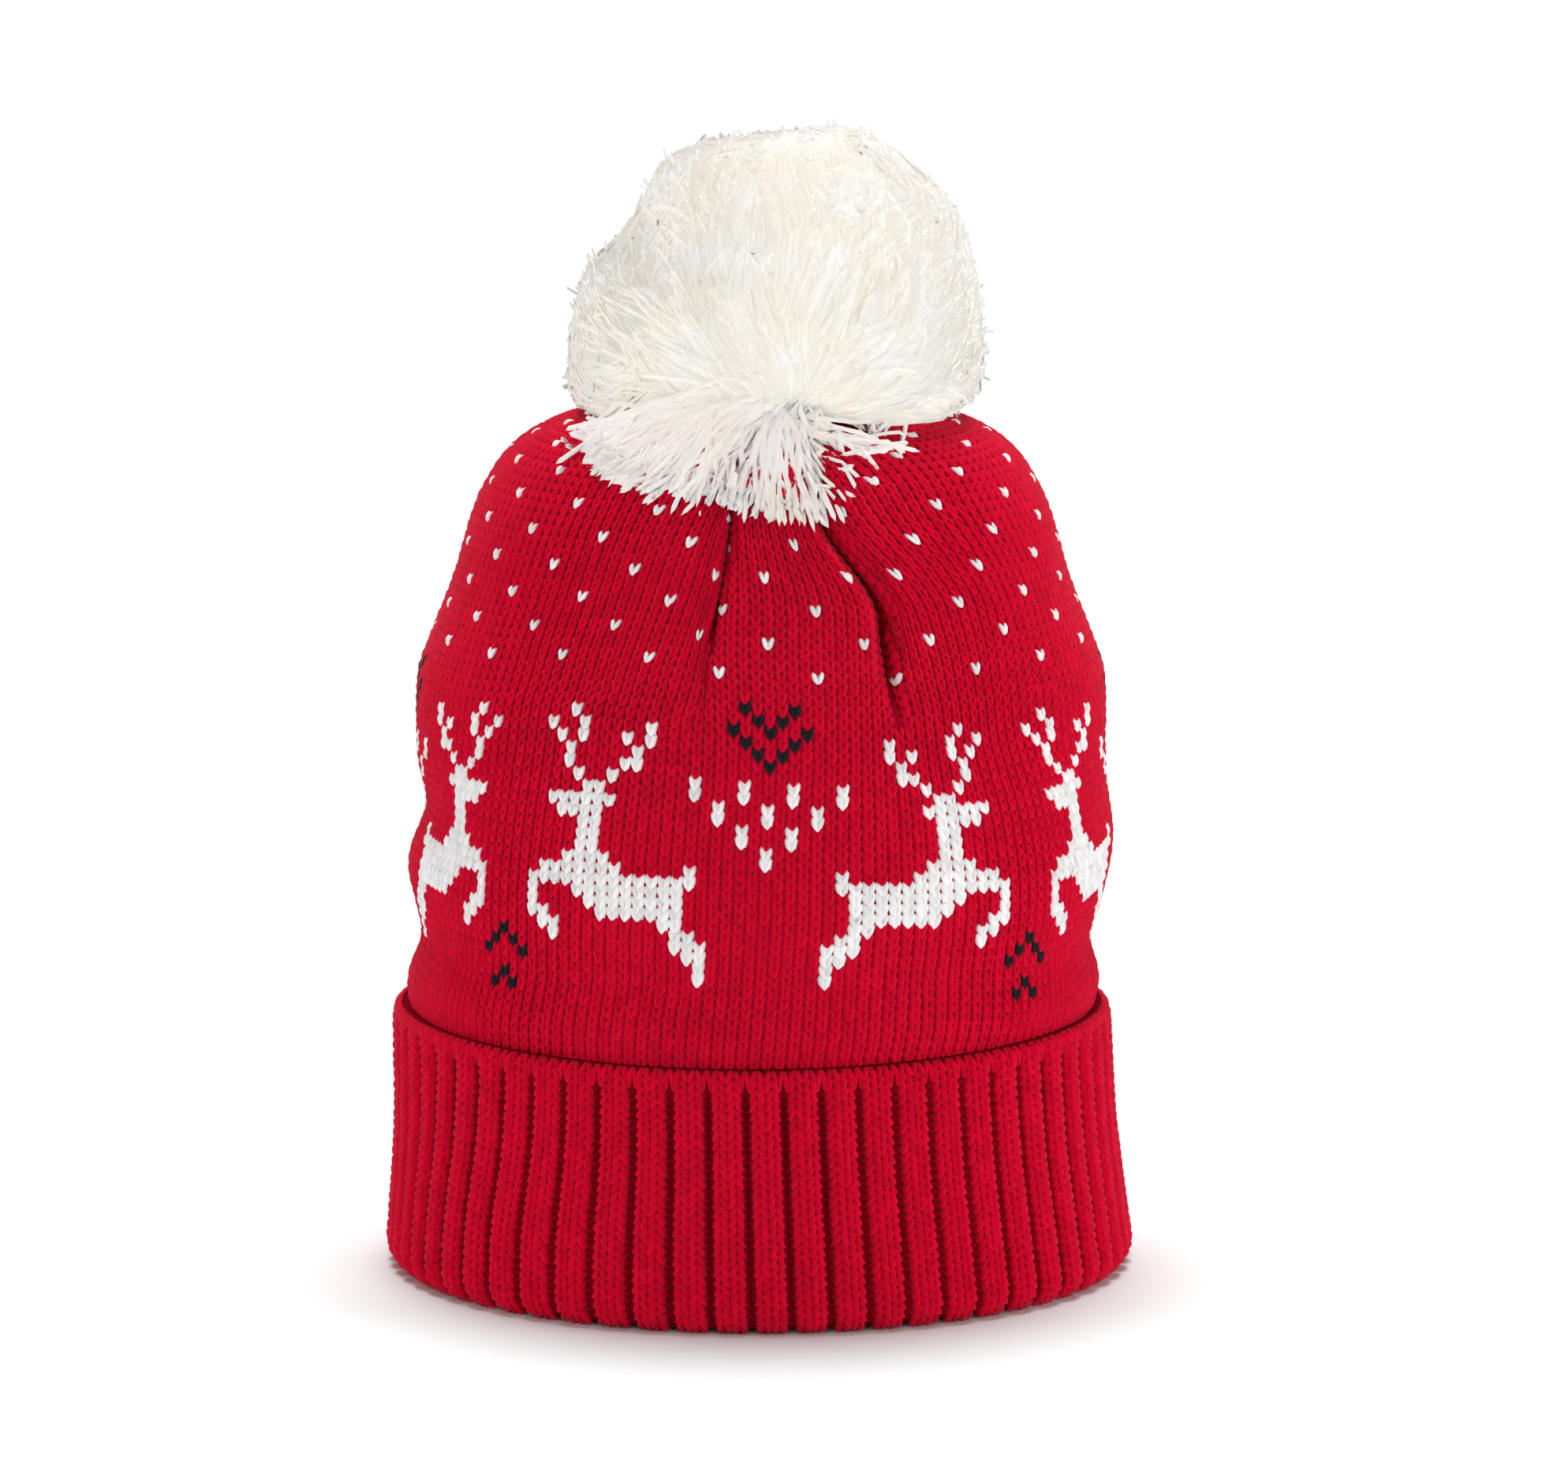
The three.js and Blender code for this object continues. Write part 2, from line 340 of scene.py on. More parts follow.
# Pompom: the outline that the cut yarn ends reach
POMPOM_PROFILE = table(
    "height radius shift",
    (219.8, 24, 3.0),
    (219.4, 45, 3.0),
    (225.0, 51.2, 3.8),
    (238.0, 51.2, 4.2),
    (250.0, 49.4, 4.6),
    (260.0, 45.2, 6.6),
    (269.0, 40.6, 8.4),
    (278.0, 33.4, 7.6),
    (284.6, 24.5, 6.5),
    (287.8, 13.0, 7.0),
    (288.2, 0.5, 8.0),
)
# Lobes and hollows of the ball
POMPOM_LUMPS = table(
    "around height swell wide tall",
    (-92, 267, -2.6, 30, 7),
    (-80, 281, 1.6, 40, 5),
    (-85, 289, -1.8, 60, 4),
    (80, 288, 2.6, 55, 4),
    (5, 221, -4.0, 26, 9),
    (-40, 246, 1.2, 24, 14),
    (38, 250, 1.4, 26, 14),
    (150, 240, 2.0, 40, 16),
    (-150, 262, 1.8, 40, 14),
)
# Lumps fade out this near the pole, and the outline stays this far from the axis
POLE_RADIUS = 12.0
LEAST_RADIUS = 0.3
# Where the yarn comes from, and the share of the way to the outline that its packed core fills
POMPOM_ROOT = np.array([4.0, -2.0, 226.0])
POMPOM_CORE = 0.982
CORE_COLUMNS = 72
CORE_ROWS = 40
CORE_TINT = 1.05
# Fluffy yarn is lit as a mass about the pompom's middle, and hanging strands go over to a lower middle
# between these shares of their length. Softness is how much of their own roundness is lost in the mass.
POMPOM_MIDDLE = np.array([4.0, -4.0, 236.0])
HANGING_MIDDLE = np.array([4.0, 0.0, 185.0])
MIDDLE_BLEND = (0.2, 0.9)
SOFTNESS = 0.78
FRINGE_SOFTNESS = 0.45
HANGING_SOFTNESS = 0.7
# Light scatters in the fluff, so its mass is lit as a form whose sides are steeper than its own. These shares
# are kept of the sideways part of its outward directions, and of their upward part in front and behind.
LIT_WIDTH = 0.85
LIT_FRONT = 0.17
LIT_BACK = 0.4
LIT_BLEND = (-25, 35)
# Kinds of strand. share and thick say where along its length a strand has rings and how thick it is there,
# and yarn is the range of its whole thickness as a share of the yarn's. Its shade starts at root and gains
# rise, darker towards the root as painted shade where the strands lie under one another, tone is how far
# the strands differ, and twists are counted along it.
TUFT = dict(
    table("share thick", (0, 0.6), (0.3, 0.9), (0.65, 1), (0.96, 1.1), (1, 0)),
    sides=3,
    yarn=(0.7, 1.1),
    root=0.0,
    rise=1.0,
    tone=0.08,
    twists=8,
    softness=FRINGE_SOFTNESS,
)
FLUFF = dict(sides=3, root=0.8, rise=0.2, twists=1, softness=FRINGE_SOFTNESS)
FAN = dict(
    table("share thick", (0, 0.5), (0.2, 1), (0.4, 1), (0.6, 1), (0.8, 1), (0.97, 0.9), (1, 0)),
    sides=3,
    yarn=(0.55, 0.9),
    root=0.2,
    rise=0.65,
    tone=0.16,
    twists=24,
    softness=SOFTNESS,
)
CAP = dict(
    FAN,
    **table("share thick", (0, 0.5), (0.3, 1), (0.65, 1), (0.97, 0.9), (1, 0)),
    root=0.3,
    rise=0.6,
    softness=FRINGE_SOFTNESS,
)
LOOSE = dict(
    share=np.append(np.linspace(0, 0.975, 9), 1.0),
    thick=np.array([0.5, 1, 1, 1, 1, 1, 1, 1.05, 1.1, 0]),
    sides=4,
    yarn=(0.8, 1.1),
    root=0.0,
    rise=1.0,
    tone=0.25,
    twists=24,
    softness=HANGING_SOFTNESS,
)
# How many waves a strand on the ball has
WAVE_TURNS = (1.0, 2.2)
# Cut ends: the share of them that strands cover in front and behind, from this depth to this, but not on top
TUFTS_COVERED = 0.9
COVERED_DEPTH = (5, 35)
BARE_HEIGHT = (262, 284)
# How far a cut end strays around, in degrees, its height over the outline and how far that differs, where it
# starts on the way from its root, how far it bends sideways, and the share of that which its tip keeps
TUFT_STRAY = 1.2
TUFT_LIFT = (-0.6, 0.45)
TUFT_START = (0.7, 0.8)
TUFT_BEND = 1.3
TIP_BEND = 0.8
# Where yarn ends go over from the middle of the ball as their root to the parting, towards the front
FRONT_BLEND = (-15, 45)
# Fine fibres: half their thickness, how far round from the cut ends they stand, in degrees, how high they
# start over the outline, how far their directions differ, how long they are and how far they bend
FLUFF_RADIUS = 0.07
FLUFF_TURN = 17
FLUFF_START = (-1.6, 0.0)
FLUFF_SLANT = 0.7
FLUFF_LENGTH = (1.6, 3.4)
FLUFF_BEND = 0.4
# The parting at the lower front, from which strands run up over the ball and down over the crown
PARTING = np.array([5.5, -47.0, 219.5])
PARTING_AROUND = 6.0
PARTING_TRAVEL = 24.0
# Where the strands of the back come out from under the ball
BACK_AROUND = 190.0
BACK_TRAVEL = 15.0
# Strands on the ball lie in locks along rays, which are in degrees from straight up. A lock ends at the first
# reach or up to the second further along its ray, and its strands are this long.
FAN_RAYS = (-116, 112)
FAN_REACH = (10, 90)
FAN_LENGTH = (18, 46)
# No strand reaches less than this, or higher up the ball than this, for which rays climb at least a little
LEAST_REACH = 8
FAN_TRAVEL = 88.0
LEAST_CLIMB = 0.3
# How far a strand strays from its lock's ray, in radians, and from its end
RAY_STRAY = 0.02
REACH_STRAY = 2.5
# The strands in one lock, its width, the share of that which is gone at its tip, and how far it bends, in
# radians
LOCK_STRANDS = 9
LOCK_WIDTH = 2.0
LOCK_CLOSING = 0.65
LOCK_BEND = 0.27
# The ball's radius where sideways steps are turned to angles
BALL_RADIUS = 50
# How high locks lie over the outline, what each strand adds, how far its tip rises and how far it waves
LOCK_HEAP = (-1.2, 0.2)
STRAND_HEAP = (-0.3, 0.3)
TIP_LIFT = 0.2
FAN_WAVES = 0.55
# The share of strands that lie loose over the rest, and what their tips and waves gain
LOOSE_FAN = 0.22
LOOSE_LIFT = 0.7
LOOSE_WAVES = 1.8
# Strands of the top: how far from the pole they lie, how far each turns from pointing away from it, in
# radians, how long they are, how high they lie over the outline and how far they wave
CAP_RADIUS = 44.0
CAP_STRAY = 0.7
CAP_LENGTH = (12, 24)
CAP_HEAP = (-1.0, 0.1)
CAP_WAVES = 0.3
# How low the loose strands hang over the crown's shoulder, and how many of them there are, as a share
HANGING = table(
    "around reach crowd",
    (-62, 216.5, 1.0),
    (-54, 213.5, 1.5),
    (-45, 210.5, 1.6),
    (-37, 207.8, 1.6),
    (-27, 205.0, 1.5),
    (-18, 203.0, 1.4),
    (-6, 201.2, 1.3),
    (5, 198.4, 1.2),
    (10, 196.8, 1.0),
    (16, 205.0, 0.3),
    (30, 210.5, 0.13),
    (44, 214.5, 0.16),
    (56, 217.0, 0.2),
)
HANGING_LIFT = 1.9
# How far the loose strands differ where they end, in height and around, and where they begin, around and in
# travel
END_STRAY = (3.0, 3.5)
START_STRAY = (4.5, 4.0)
# The loose strands end on the part of the crown that is wider than this
SHOULDER_RADIUS = 37.0
# Those that end on the left begin further left, by this share of the way, and higher, by this per degree
HANGING_SPREAD = 0.7
HANGING_RISE = 0.35
# How high they begin over the ball, and how much lower those that begin this many degrees to the left
START_LIFT = 0.3
START_DROP = 1.2
DROP_SPREAD = (4, 16)
# Half way down, how far from the axis the strands lie, how far that differs, how high the lowest are, what
# the highest add, and how much more that is on the left
HANGING_BOW = 52.2
BOW_STRAY = (-0.4, 0.8)
HANGING_BOW_HEIGHT = (214.0, 9.0)
LEFT_BOW = 0.5
LEFT_AROUND = (0, 40)
# How far they wave, and how many waves each has
HANGING_WAVES = 1.5
HANGING_WAVE_TURNS = (1.5, 2.8)
# How strongly the strands crowd to the bottom of the heap
HEAP_POWER = 1.3
# The share of the hanging strands that lie underneath, and how high they reach in the heap
HANGING_UNDER = 0.6
UNDER_HEAP = 0.6

# Tie: the yarn knot under the hole and its stem up to the pompom
TIE_PROFILE = table(
    "height radius",
    (206.6, 0.4),
    (206.6, 6.5),
    (208.3, 9.3),
    (210.8, 8.8),
    (212.4, 5.6),
    (216.0, 5.2),
    (219.8, 5.2),
    (219.8, 0.4),
)
TIE_COLUMNS = 48
TIE_ROWS = 44
TIE_SHIFT = 0.5
# The wound yarn's relief as a share of the radius, its strands once round and its turn in a millimetre
TIE_RELIEF = 0.06
TIE_STRANDS = 3
TIE_WIND = 2.4
TIE_SHADE = 0.6

FLOOR_SIDES = 64
CAMERA_REACH = 100
# Lamps: the setting that gives each its strength, its share of that, how wide it is, where it stands around
# the hat and how far above the floor, in degrees
LAMPS = (
    ("overhead", "key", 1.0, 26, 180, 78),
    ("front_left", "left", 0.4, 24, -32, 4),
    ("far_left", "left", 0.6, 24, -78, 4),
    ("front_right", "right", 0.4, 24, 32, 4),
    ("far_right", "right", 0.6, 24, 78, 4),
)

# The steps in which a curve through a table is read
CURVE_STEPS = 1500


def smooth(x, low, high):
    """0 below low, 1 above high, and an even S between them."""
    t = np.clip((x - low) / (high - low), 0, 1)
    return t * t * (3 - 2 * t)


def bumps(rows, around, height):
    """The sum of round swellings, each its swell times exp(-(turn / wide)^2 - (rise / tall)^2)."""
    total = 0.0
    for middle, level, swell, wide, tall in zip(*rows.values()):
        turn = (around - middle + 180) % 360 - 180
        rise = height - level
        total = total + swell * np.exp(-((turn / wide) ** 2) - (rise / tall) ** 2)
    return total


def smooth_curve(rows):
    """A smooth curve through a table's rows, uniform Catmull-Rom with its ends doubled, read by its travel.

    out_r and out_z are the curve's outward normal: its direction of travel turned a quarter to the outside.
    """
    points = np.column_stack(list(rows.values()))
    padded = np.vstack([points[:1], points, points[-1:]])
    place_on = np.linspace(0, len(points) - 1, CURVE_STEPS)
    i = np.minimum(place_on.astype(int), len(points) - 2)
    w = (place_on - i)[:, None]
    p0, p1, p2, p3 = (padded[i + k] for k in range(4))
    cubic = (3 * p1 - p0 - 3 * p2 + p3) * w**3
    values = 0.5 * (2 * p1 + (p2 - p0) * w + (2 * p0 - 5 * p1 + 4 * p2 - p3) * w**2 + cubic)
    curve = dict(zip(rows, values.T))
    step = np.hypot(np.diff(curve["radius"]), np.diff(curve["height"]))
    travel = np.concatenate([[0], np.cumsum(step)])
    curve["travel"] = travel
    curve["out_r"] = np.gradient(curve["height"], travel)
    curve["out_z"] = -np.gradient(curve["radius"], travel)
    return curve


def read(curve, travel, *columns):
    """The named columns of a curve at a travel, by straight lines between its steps."""
    found = [np.interp(travel, curve["travel"], curve[c]) for c in columns]
    return found if len(found) > 1 else found[0]


def place(around, radius, height, shift=None):
    """Points at a distance from the hat's own leaning axis: x = shift + r sin a, y = -r cos a."""
    if shift is None:
        shift = np.interp(height, LEAN["height"], LEAN["shift"])
    angle = np.radians(around)
    x = shift + radius * np.sin(angle)
    y = -radius * np.cos(angle)
    return np.stack(np.broadcast_arrays(x, y, height), axis=-1)


def unit(vectors):
    """Vectors brought to length 1."""
    return vectors / np.maximum(np.linalg.norm(vectors, axis=-1, keepdims=True), 1e-9)


def lifted(surface, u, v, lift):
    """Points raised along a surface's normal, the cross product of its steps in u and v, and the normals."""
    here = surface(u, v)
    across = surface(u + SURFACE_STEP, v) - here
    along = surface(u, v + SURFACE_STEP) - here
    normal = unit(np.cross(across, along))
    return here + normal * lift[..., None], normal


class CrownCloth:
    """The crown's cloth, as a surface of the wale column and the travel up the profile.

    Between two folds the cloth is one panel. A panel's middle keeps its full-size wales, and as the profile
    closes in, the wales left over are squeezed into the folds at its sides, which sink into the wall.
    """

    def __init__(self, wales, row_pitch):
        self.wales = wales
        self.row_pitch = row_pitch
        self.degrees = 360 / wales
        self.wale_pitch = 2 * math.pi * FULL_RADIUS / wales
        self.curve = smooth_curve(CROWN_PROFILE)
        travel, height = self.curve["travel"], self.curve["height"]
        rising = height < CROWN_PROFILE["height"].max() - RISING_MARGIN
        self.head_row = np.interp(HEAD_ROW_HEIGHT, height[rising], travel[rising])
        self.top = travel[np.argmax(self.curve["radius"] < TOP_RADIUS)]
        cuts = np.floor((FOLDS["low"] - FOLD_TURN) / self.degrees) + 0.5
        self.cuts = np.append(cuts, cuts[0] + wales)

    def columns(self):
        """The columns once round, from the first fold."""
        return self.cuts[0] + np.arange(self.wales)

    def panel(self, column):
        """The panel that a column lies in."""
        return np.clip(np.searchsorted(self.cuts, column, side="right") - 1, 0, len(FOLDS["low"]) - 1)

    def fold(self, name, panel, right):
        """A column of the fold table for the left or right fold of each panel."""
        return FOLDS[name][(panel + right) % len(FOLDS["low"])]

    def fold_angle(self, panel, right, height):
        """Where a panel's left or right fold is at a height."""
        low, top, lean = (self.fold(c, panel, right) for c in ("low", "top", "lean"))
        once_round = 360 * ((panel + right) // len(FOLDS["low"]))
        return low + (top - low) * smooth(height, lean, FOLD_LEAN_END) + once_round

    def tuck(self, column, travel, panel):
        """How the cloth lies: its angle around, its depth in a fold, from 0 to 1, and if that is on the left.

        A stitch may reach beyond its panel only where the cloth is not yet folded.
        """
        radius, height = read(self.curve, travel, "radius", "height")
        radius = np.maximum(radius, HOLE_RADIUS)
        left, right = (self.fold_angle(panel, side, height) for side in (0, 1))
        half = (right - left) / 2
        first, last = self.cuts[panel], self.cuts[panel + 1]
        place_in = 2 * (column - first) / (last - first) - 1
        t = np.clip(place_in, -1, 1)
        cloth = np.radians(half) * FULL_RADIUS
        gather = np.maximum(FULL_RADIUS / radius, 1)
        width = np.where(t < 0, self.fold("right", panel, 0), self.fold("left", panel, 1))
        tucked = np.minimum(np.maximum(1 - 1 / gather, width / cloth), MOST_TUCKED)
        deep = np.maximum((np.abs(t) - (1 - tucked)) / tucked, 0)
        flank = np.minimum(FOLD_SLOT / np.radians(half) / radius, WIDEST_FLANK)
        slack = np.minimum(flank / tucked, 1)
        beyond = (place_in - t) * (1 - smooth(gather, 1, 1 + BLEND_GATHER))
        around = (left + right) / 2 + half * (squeeze(t, gather, slack) + beyond)
        return around, deep, t < 0

    def settle(self, around, height):
        """The lean of the wales, the stretch to each side of the front and the slips, added to the angle."""
        lean = np.interp(height, WALE_LEAN["height"], WALE_LEAN["turn"]) - FOLD_TURN
        stretch = FRONT_STRETCH * np.sin(np.radians(2 * around)) ** 3 * (1 - smooth(height, *STRETCH_FADE))
        return around + lean + stretch + bumps(WALE_SHIFTS, around, height)

    def sink(self, deep, left_side, radius, height, panel):
        """How far a fold draws the cloth into the wall."""
        start = np.where(left_side, self.fold("start", panel, 0), self.fold("start", panel, 1))
        depth = np.where(left_side, self.fold("depth", panel, 0), self.fold("depth", panel, 1))
        shrink = np.clip((radius - HOLE_RADIUS) / FLAT_TOP_RADIUS, LEAST_FOLD, 1)
        return depth * smooth(height, start, start + FOLD_RISE) * shrink * smooth(deep, 0, 1)

    def points(self, column, travel, panel, inset=0.0):
        """Points of the cloth, or of a layer that lies inset under it."""
        radius, height, out_r, out_z = read(self.curve, travel, "radius", "height", "out_r", "out_z")
        around, deep, left_side = self.tuck(column, travel, panel)
        around = self.settle(around, height)
        swell = bumps(DENTS, around, height) - self.sink(deep, left_side, radius, height, panel) - inset
        return place(around, radius + out_r * swell, height + out_z * swell)

    def on_panels(self, column):
        """The cloth as a surface for shapes that start in these columns and stay on their panels."""
        panels = self.panel(column)[:, None]
        return lambda u, v: self.points(u, v, panels)

    def sag(self, column, travel):
        """How far the rows hang below the front's rows."""
        return bumps(ROW_SAGS, column * self.degrees, read(self.curve, travel, "height"))


def squeeze(t, gather, slack):
    """Spreads a panel's columns: full-size cloth in the middle, and the rest squeezed into the folds.

    It is the softened smaller of gather |t| and 1 - slack (1 - |t|), scaled to reach 1 at the panel's edge.
    """
    blend = SQUEEZE_BLEND * smooth(gather, 1, 1 + BLEND_GATHER) + 1e-6

    def bent(x):
        opened = gather * x
        tucked = 1 - slack * (1 - x)
        near = np.maximum(blend - np.abs(opened - tucked), 0) / blend
        return np.minimum(opened, tucked) - near * near * blend / 4

    return np.sign(t) * bent(np.abs(t)) / bent(np.ones_like(t))


class CuffCloth:
    """The cuff's outer ply, as a surface of the rib, counted round the hat, and the travel up its path."""

    def __init__(self, ribs, depth):
        self.ribs = ribs
        self.depth = depth
        self.curve = smooth_curve(CUFF_PATH)

    def points(self, rib, travel, curve=None, inset=0.0):
        """A ring whose radius dips between ribs: a square law over the crest and an S down each flank."""
        curve = curve or self.curve
        height, radius, ribbed, raised = read(curve, travel, "height", "radius", "ribbed", "raised")
        out_r, out_z = read(curve, travel, "out_r", "out_z")
        away = np.abs((rib + 0.5) % 1 - 0.5)
        crest = RIB_CREST * (2 * away) ** 2
        dip = self.depth * ribbed * (crest + (1 - RIB_CREST) * smooth(away, RIB_FLANK, 0.5))
        around = rib * 360 / self.ribs + RIB_TURN
        around = around + bumps(RIB_FAN, around, height)
        lift = CORNER_RAISE * raised * np.sin(np.radians(around)) ** 2
        swell = -dip - inset
        shift = np.interp(height, LEAN["height"], LEAN["shift"])
        return place(around, radius + out_r * swell, height + lift + np.maximum(out_z, 0) * swell, shift)


def spindle_faces(rings, sides):
    """Triangles of a closed spindle: a tip, rings anticlockwise seen from the last tip, and that tip."""
    i = np.arange(sides)
    k = (i + 1) % sides
    zero = np.zeros(sides, int)
    faces = [np.column_stack([zero, 1 + k, 1 + i])]
    for ring in range(rings - 1):
        low = 1 + ring * sides
        high = low + sides
        faces.append(np.column_stack([low + i, low + k, high + k]))
        faces.append(np.column_stack([low + i, high + k, high + i]))
    last = 1 + rings * sides
    faces.append(np.column_stack([last - sides + i, last - sides + k, zero + last]))
    return np.concatenate(faces)


def grid_faces(rows, columns):
    """Quads of a grid that closes round its columns, from rows that go up the outside."""
    i = np.arange(columns)
    k = (i + 1) % columns
    j = np.arange(rows - 1)[:, None] * columns
    return np.stack([j + i, j + k, j + columns + k, j + columns + i], axis=-1).reshape(-1, 4)


def capped_rings(points):
    """A closed surface from rings of points that go up the outside, with each end drawn in to its middle."""
    rings, columns = points.shape[:2]
    quads = grid_faces(rings, columns)
    i = np.arange(columns)
    k = (i + 1) % columns
    low = rings * columns
    last = low - columns
    faces = np.concatenate([
        quads[:, [0, 1, 2]],
        quads[:, [0, 2, 3]],
        np.column_stack([k, i, np.full(columns, low)]),
        np.column_stack([last + i, last + k, np.full(columns, low + 1)]),
    ])
    return np.vstack([points.reshape(-1, 3), points[0].mean(axis=0), points[-1].mean(axis=0)]), faces


def many(faces, count, points_each):
    """The faces of many shapes with as many points each, from one shape's faces or from those of each."""
    return (faces + np.arange(count)[:, None, None] * points_each).reshape(-1, faces.shape[-1])


def make_piece(name, points, faces, material, shade=None, fibre=None, outward=None, softness=0.0):
    """A smooth mesh at the origin, riding on the hat, from points in millimetres and faces of equal size.

    shade is a number for each point that the material reads, and fibre a UV for each point. The shading
    normals are turned by the share softness to the outward directions, so that soft yarn takes light as the
    mass it forms.
    """
    mesh = bpy.data.meshes.new(name)
    mesh.vertices.add(len(points))
    mesh.vertices.foreach_set("co", (points * MM).astype(np.float32).ravel())
    mesh.loops.add(faces.size)
    mesh.loops.foreach_set("vertex_index", faces.astype(np.int32).ravel())
    mesh.polygons.add(len(faces))
    mesh.polygons.foreach_set("loop_start", np.arange(0, faces.size, faces.shape[1], dtype=np.int32))
    mesh.update(calc_edges=True)
    if shade is not None:
        mesh.attributes.new("shade", "FLOAT", "POINT").data.foreach_set("value", shade.astype(np.float32))
    if fibre is not None:
        layer = mesh.uv_layers.new(name="fibre")
        layer.data.foreach_set("uv", fibre[faces.ravel()].astype(np.float32).ravel())
    mesh.shade_smooth()
    if outward is not None:
        normals = np.empty(points.size, np.float32)
        mesh.vertices.foreach_get("normal", normals)
        own = normals.reshape(-1, 3)
        turned = softness * smooth(np.sum(own * outward, axis=1, keepdims=True), *UNDERSIDE)
        mesh.normals_split_custom_set_from_vertices(unit(own * (1 - turned) + outward * turned))
    mesh.materials.append(material)
    piece = bpy.data.objects.new(name, mesh)
    bpy.context.scene.collection.objects.link(piece)
    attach(piece, "root")
    return piece


def closed_wall(name, points, fibre_across, fibre_along, material):
    """A wall whose section is a closed loop: rows of points round the hat, the last joined to the first."""
    rows, columns = points.shape[:2]
    faces = grid_faces(rows + 1, columns) % (rows * columns)
    fibre = np.stack(np.broadcast_arrays(fibre_across, fibre_along), axis=-1).reshape(-1, 2)
    return make_piece(name, points.reshape(-1, 3), faces, material, fibre=fibre)


def knit_piece(name, yarn, material):
    """A piece of yarn on a cloth, from its points, faces, shade, fibre map and outward directions."""
    points, faces, shade, fibre, outward = yarn
    return make_piece(name, points, faces, material, shade, fibre, outward, KNIT_SOFTNESS)


def knit_legs(surface, centre, travel, slant, pitch, chance, size=1.0, leg=LEG):
    """The legs of knit stitches as closed spindles laid on a surface.

    Each follows the leg table: its spine leans across the wale and arches over the cloth, and at each ring a
    ridge stands between two edges that lie in the cloth. pitch is the millimetres in one step of the
    surface's u, and size the share of a whole leg's width and height.
    """
    count = len(centre)
    size = np.broadcast_to(size, count)[:, None]
    inner = slice(1, -1)
    wide = leg["wide"][inner, None] * LEG_SIDES
    rings = [
        leg["across"][inner, None] + math.cos(LEG_LEAN) * wide,
        leg["along"][inner, None] - math.sin(LEG_LEAN) * wide,
        np.where(LEG_SIDES == 0, leg["lift"][inner, None], LEG_EDGE_LIFT),
    ]
    ends = [leg[c][[0, -1]] for c in ("across", "along", "lift")]
    across, along, lift = (np.concatenate([e[:1], r.ravel(), e[1:]]) for e, r in zip(ends, rings))
    loose = chance.normal(0, LEG_JITTER, (4, count, 1))
    u = centre[:, None] + slant[:, None] * (across * size * (1 + loose[0]) + loose[1]) / pitch
    v = travel[:, None] + along * (1 + loose[2])
    points, normal = lifted(surface, u, v, lift * size * (1 + loose[3]))
    faces = spindle_faces(len(wide), len(LEG_SIDES))
    turned = np.where(slant[:, None, None] > 0, faces, faces[:, ::-1])
    each = len(across)
    faces = many(turned, count, each)
    shade = np.repeat(chance.random(count), each)
    fibre_across = np.tile(across * FIBRE_SCALE, count) + shade * FIBRE_SHIFT
    fibre = np.column_stack([fibre_across, np.tile(along * FIBRE_SCALE, count)])
    return points.reshape(-1, 3), faces, shade, fibre, normal.reshape(-1, 3)


def chart_yarns(row, column):
    """The yarn of each stitch: the half chart mirrored about its two axes, and single stitches above it."""
    drawn = np.array([[YARN_KEYS[key] for key in line] for line in CHART])
    repeat = 2 * HALF_REPEAT
    folded = np.abs((column + HALF_REPEAT) % repeat - HALF_REPEAT)
    line = CHART_TOP - row
    inside = (line >= 0) & (line < len(drawn))
    yarn = np.where(inside, drawn[np.clip(line, 0, len(drawn) - 1), folded], RED)
    dot_row = (row - DOT_FIRST_ROW) // DOT_ROW_STEP
    on_dot_row = (row >= DOT_FIRST_ROW) & ((row - DOT_FIRST_ROW) % DOT_ROW_STEP == 0)
    first = np.where(dot_row % 2 == 0, DOT_WALE_STEP // 2, 0)
    return np.where(on_dot_row & (column % DOT_WALE_STEP == first), WHITE, yarn)


def strand_spindles(spine, radius, sides):
    """Closed strands about many spines at once: rings square to each spine, with a tip at each end."""
    count, steps = spine.shape[:2]
    along = unit(np.gradient(spine, axis=1))
    helper = np.eye(3)[np.argmin(np.abs(spine[:, -1] - spine[:, 0]), axis=1)][:, None]
    first = unit(np.cross(along, helper))
    second = np.cross(along, first)
    turn = 2 * np.pi * np.arange(sides) / sides
    out = first[:, :, None] * np.cos(turn)[:, None] + second[:, :, None] * np.sin(turn)[:, None]
    rings = spine[:, 1:-1, None] + radius[:, 1:-1, None, None] * out[:, 1:-1]
    points = np.concatenate([spine[:, :1], rings.reshape(count, -1, 3), spine[:, -1:]], axis=1)
    each = points.shape[1]
    faces = many(spindle_faces(steps - 2, sides), count, each)
    reach = np.linspace(0, 1, steps)
    lengths = np.concatenate([reach[:1], np.repeat(reach[1:-1], sides), reach[-1:]])
    turns = np.concatenate([[0], np.tile(turn / (2 * np.pi), steps - 2), [0]])
    return points.reshape(-1, 3), faces, np.tile(lengths, count), np.tile(turns, count)


def wiggles(count, share, size, chance, turns=WAVE_TURNS):
    """Small waves of a strand in a random direction, growing from its root."""
    direction = chance.normal(0, size, (count, 1, 3))
    phase = chance.uniform(0, 2 * np.pi, (count, 1))
    turns = chance.uniform(*turns, (count, 1))
    return direction * (np.sin(phase + 2 * np.pi * turns * share) * share)[..., None]


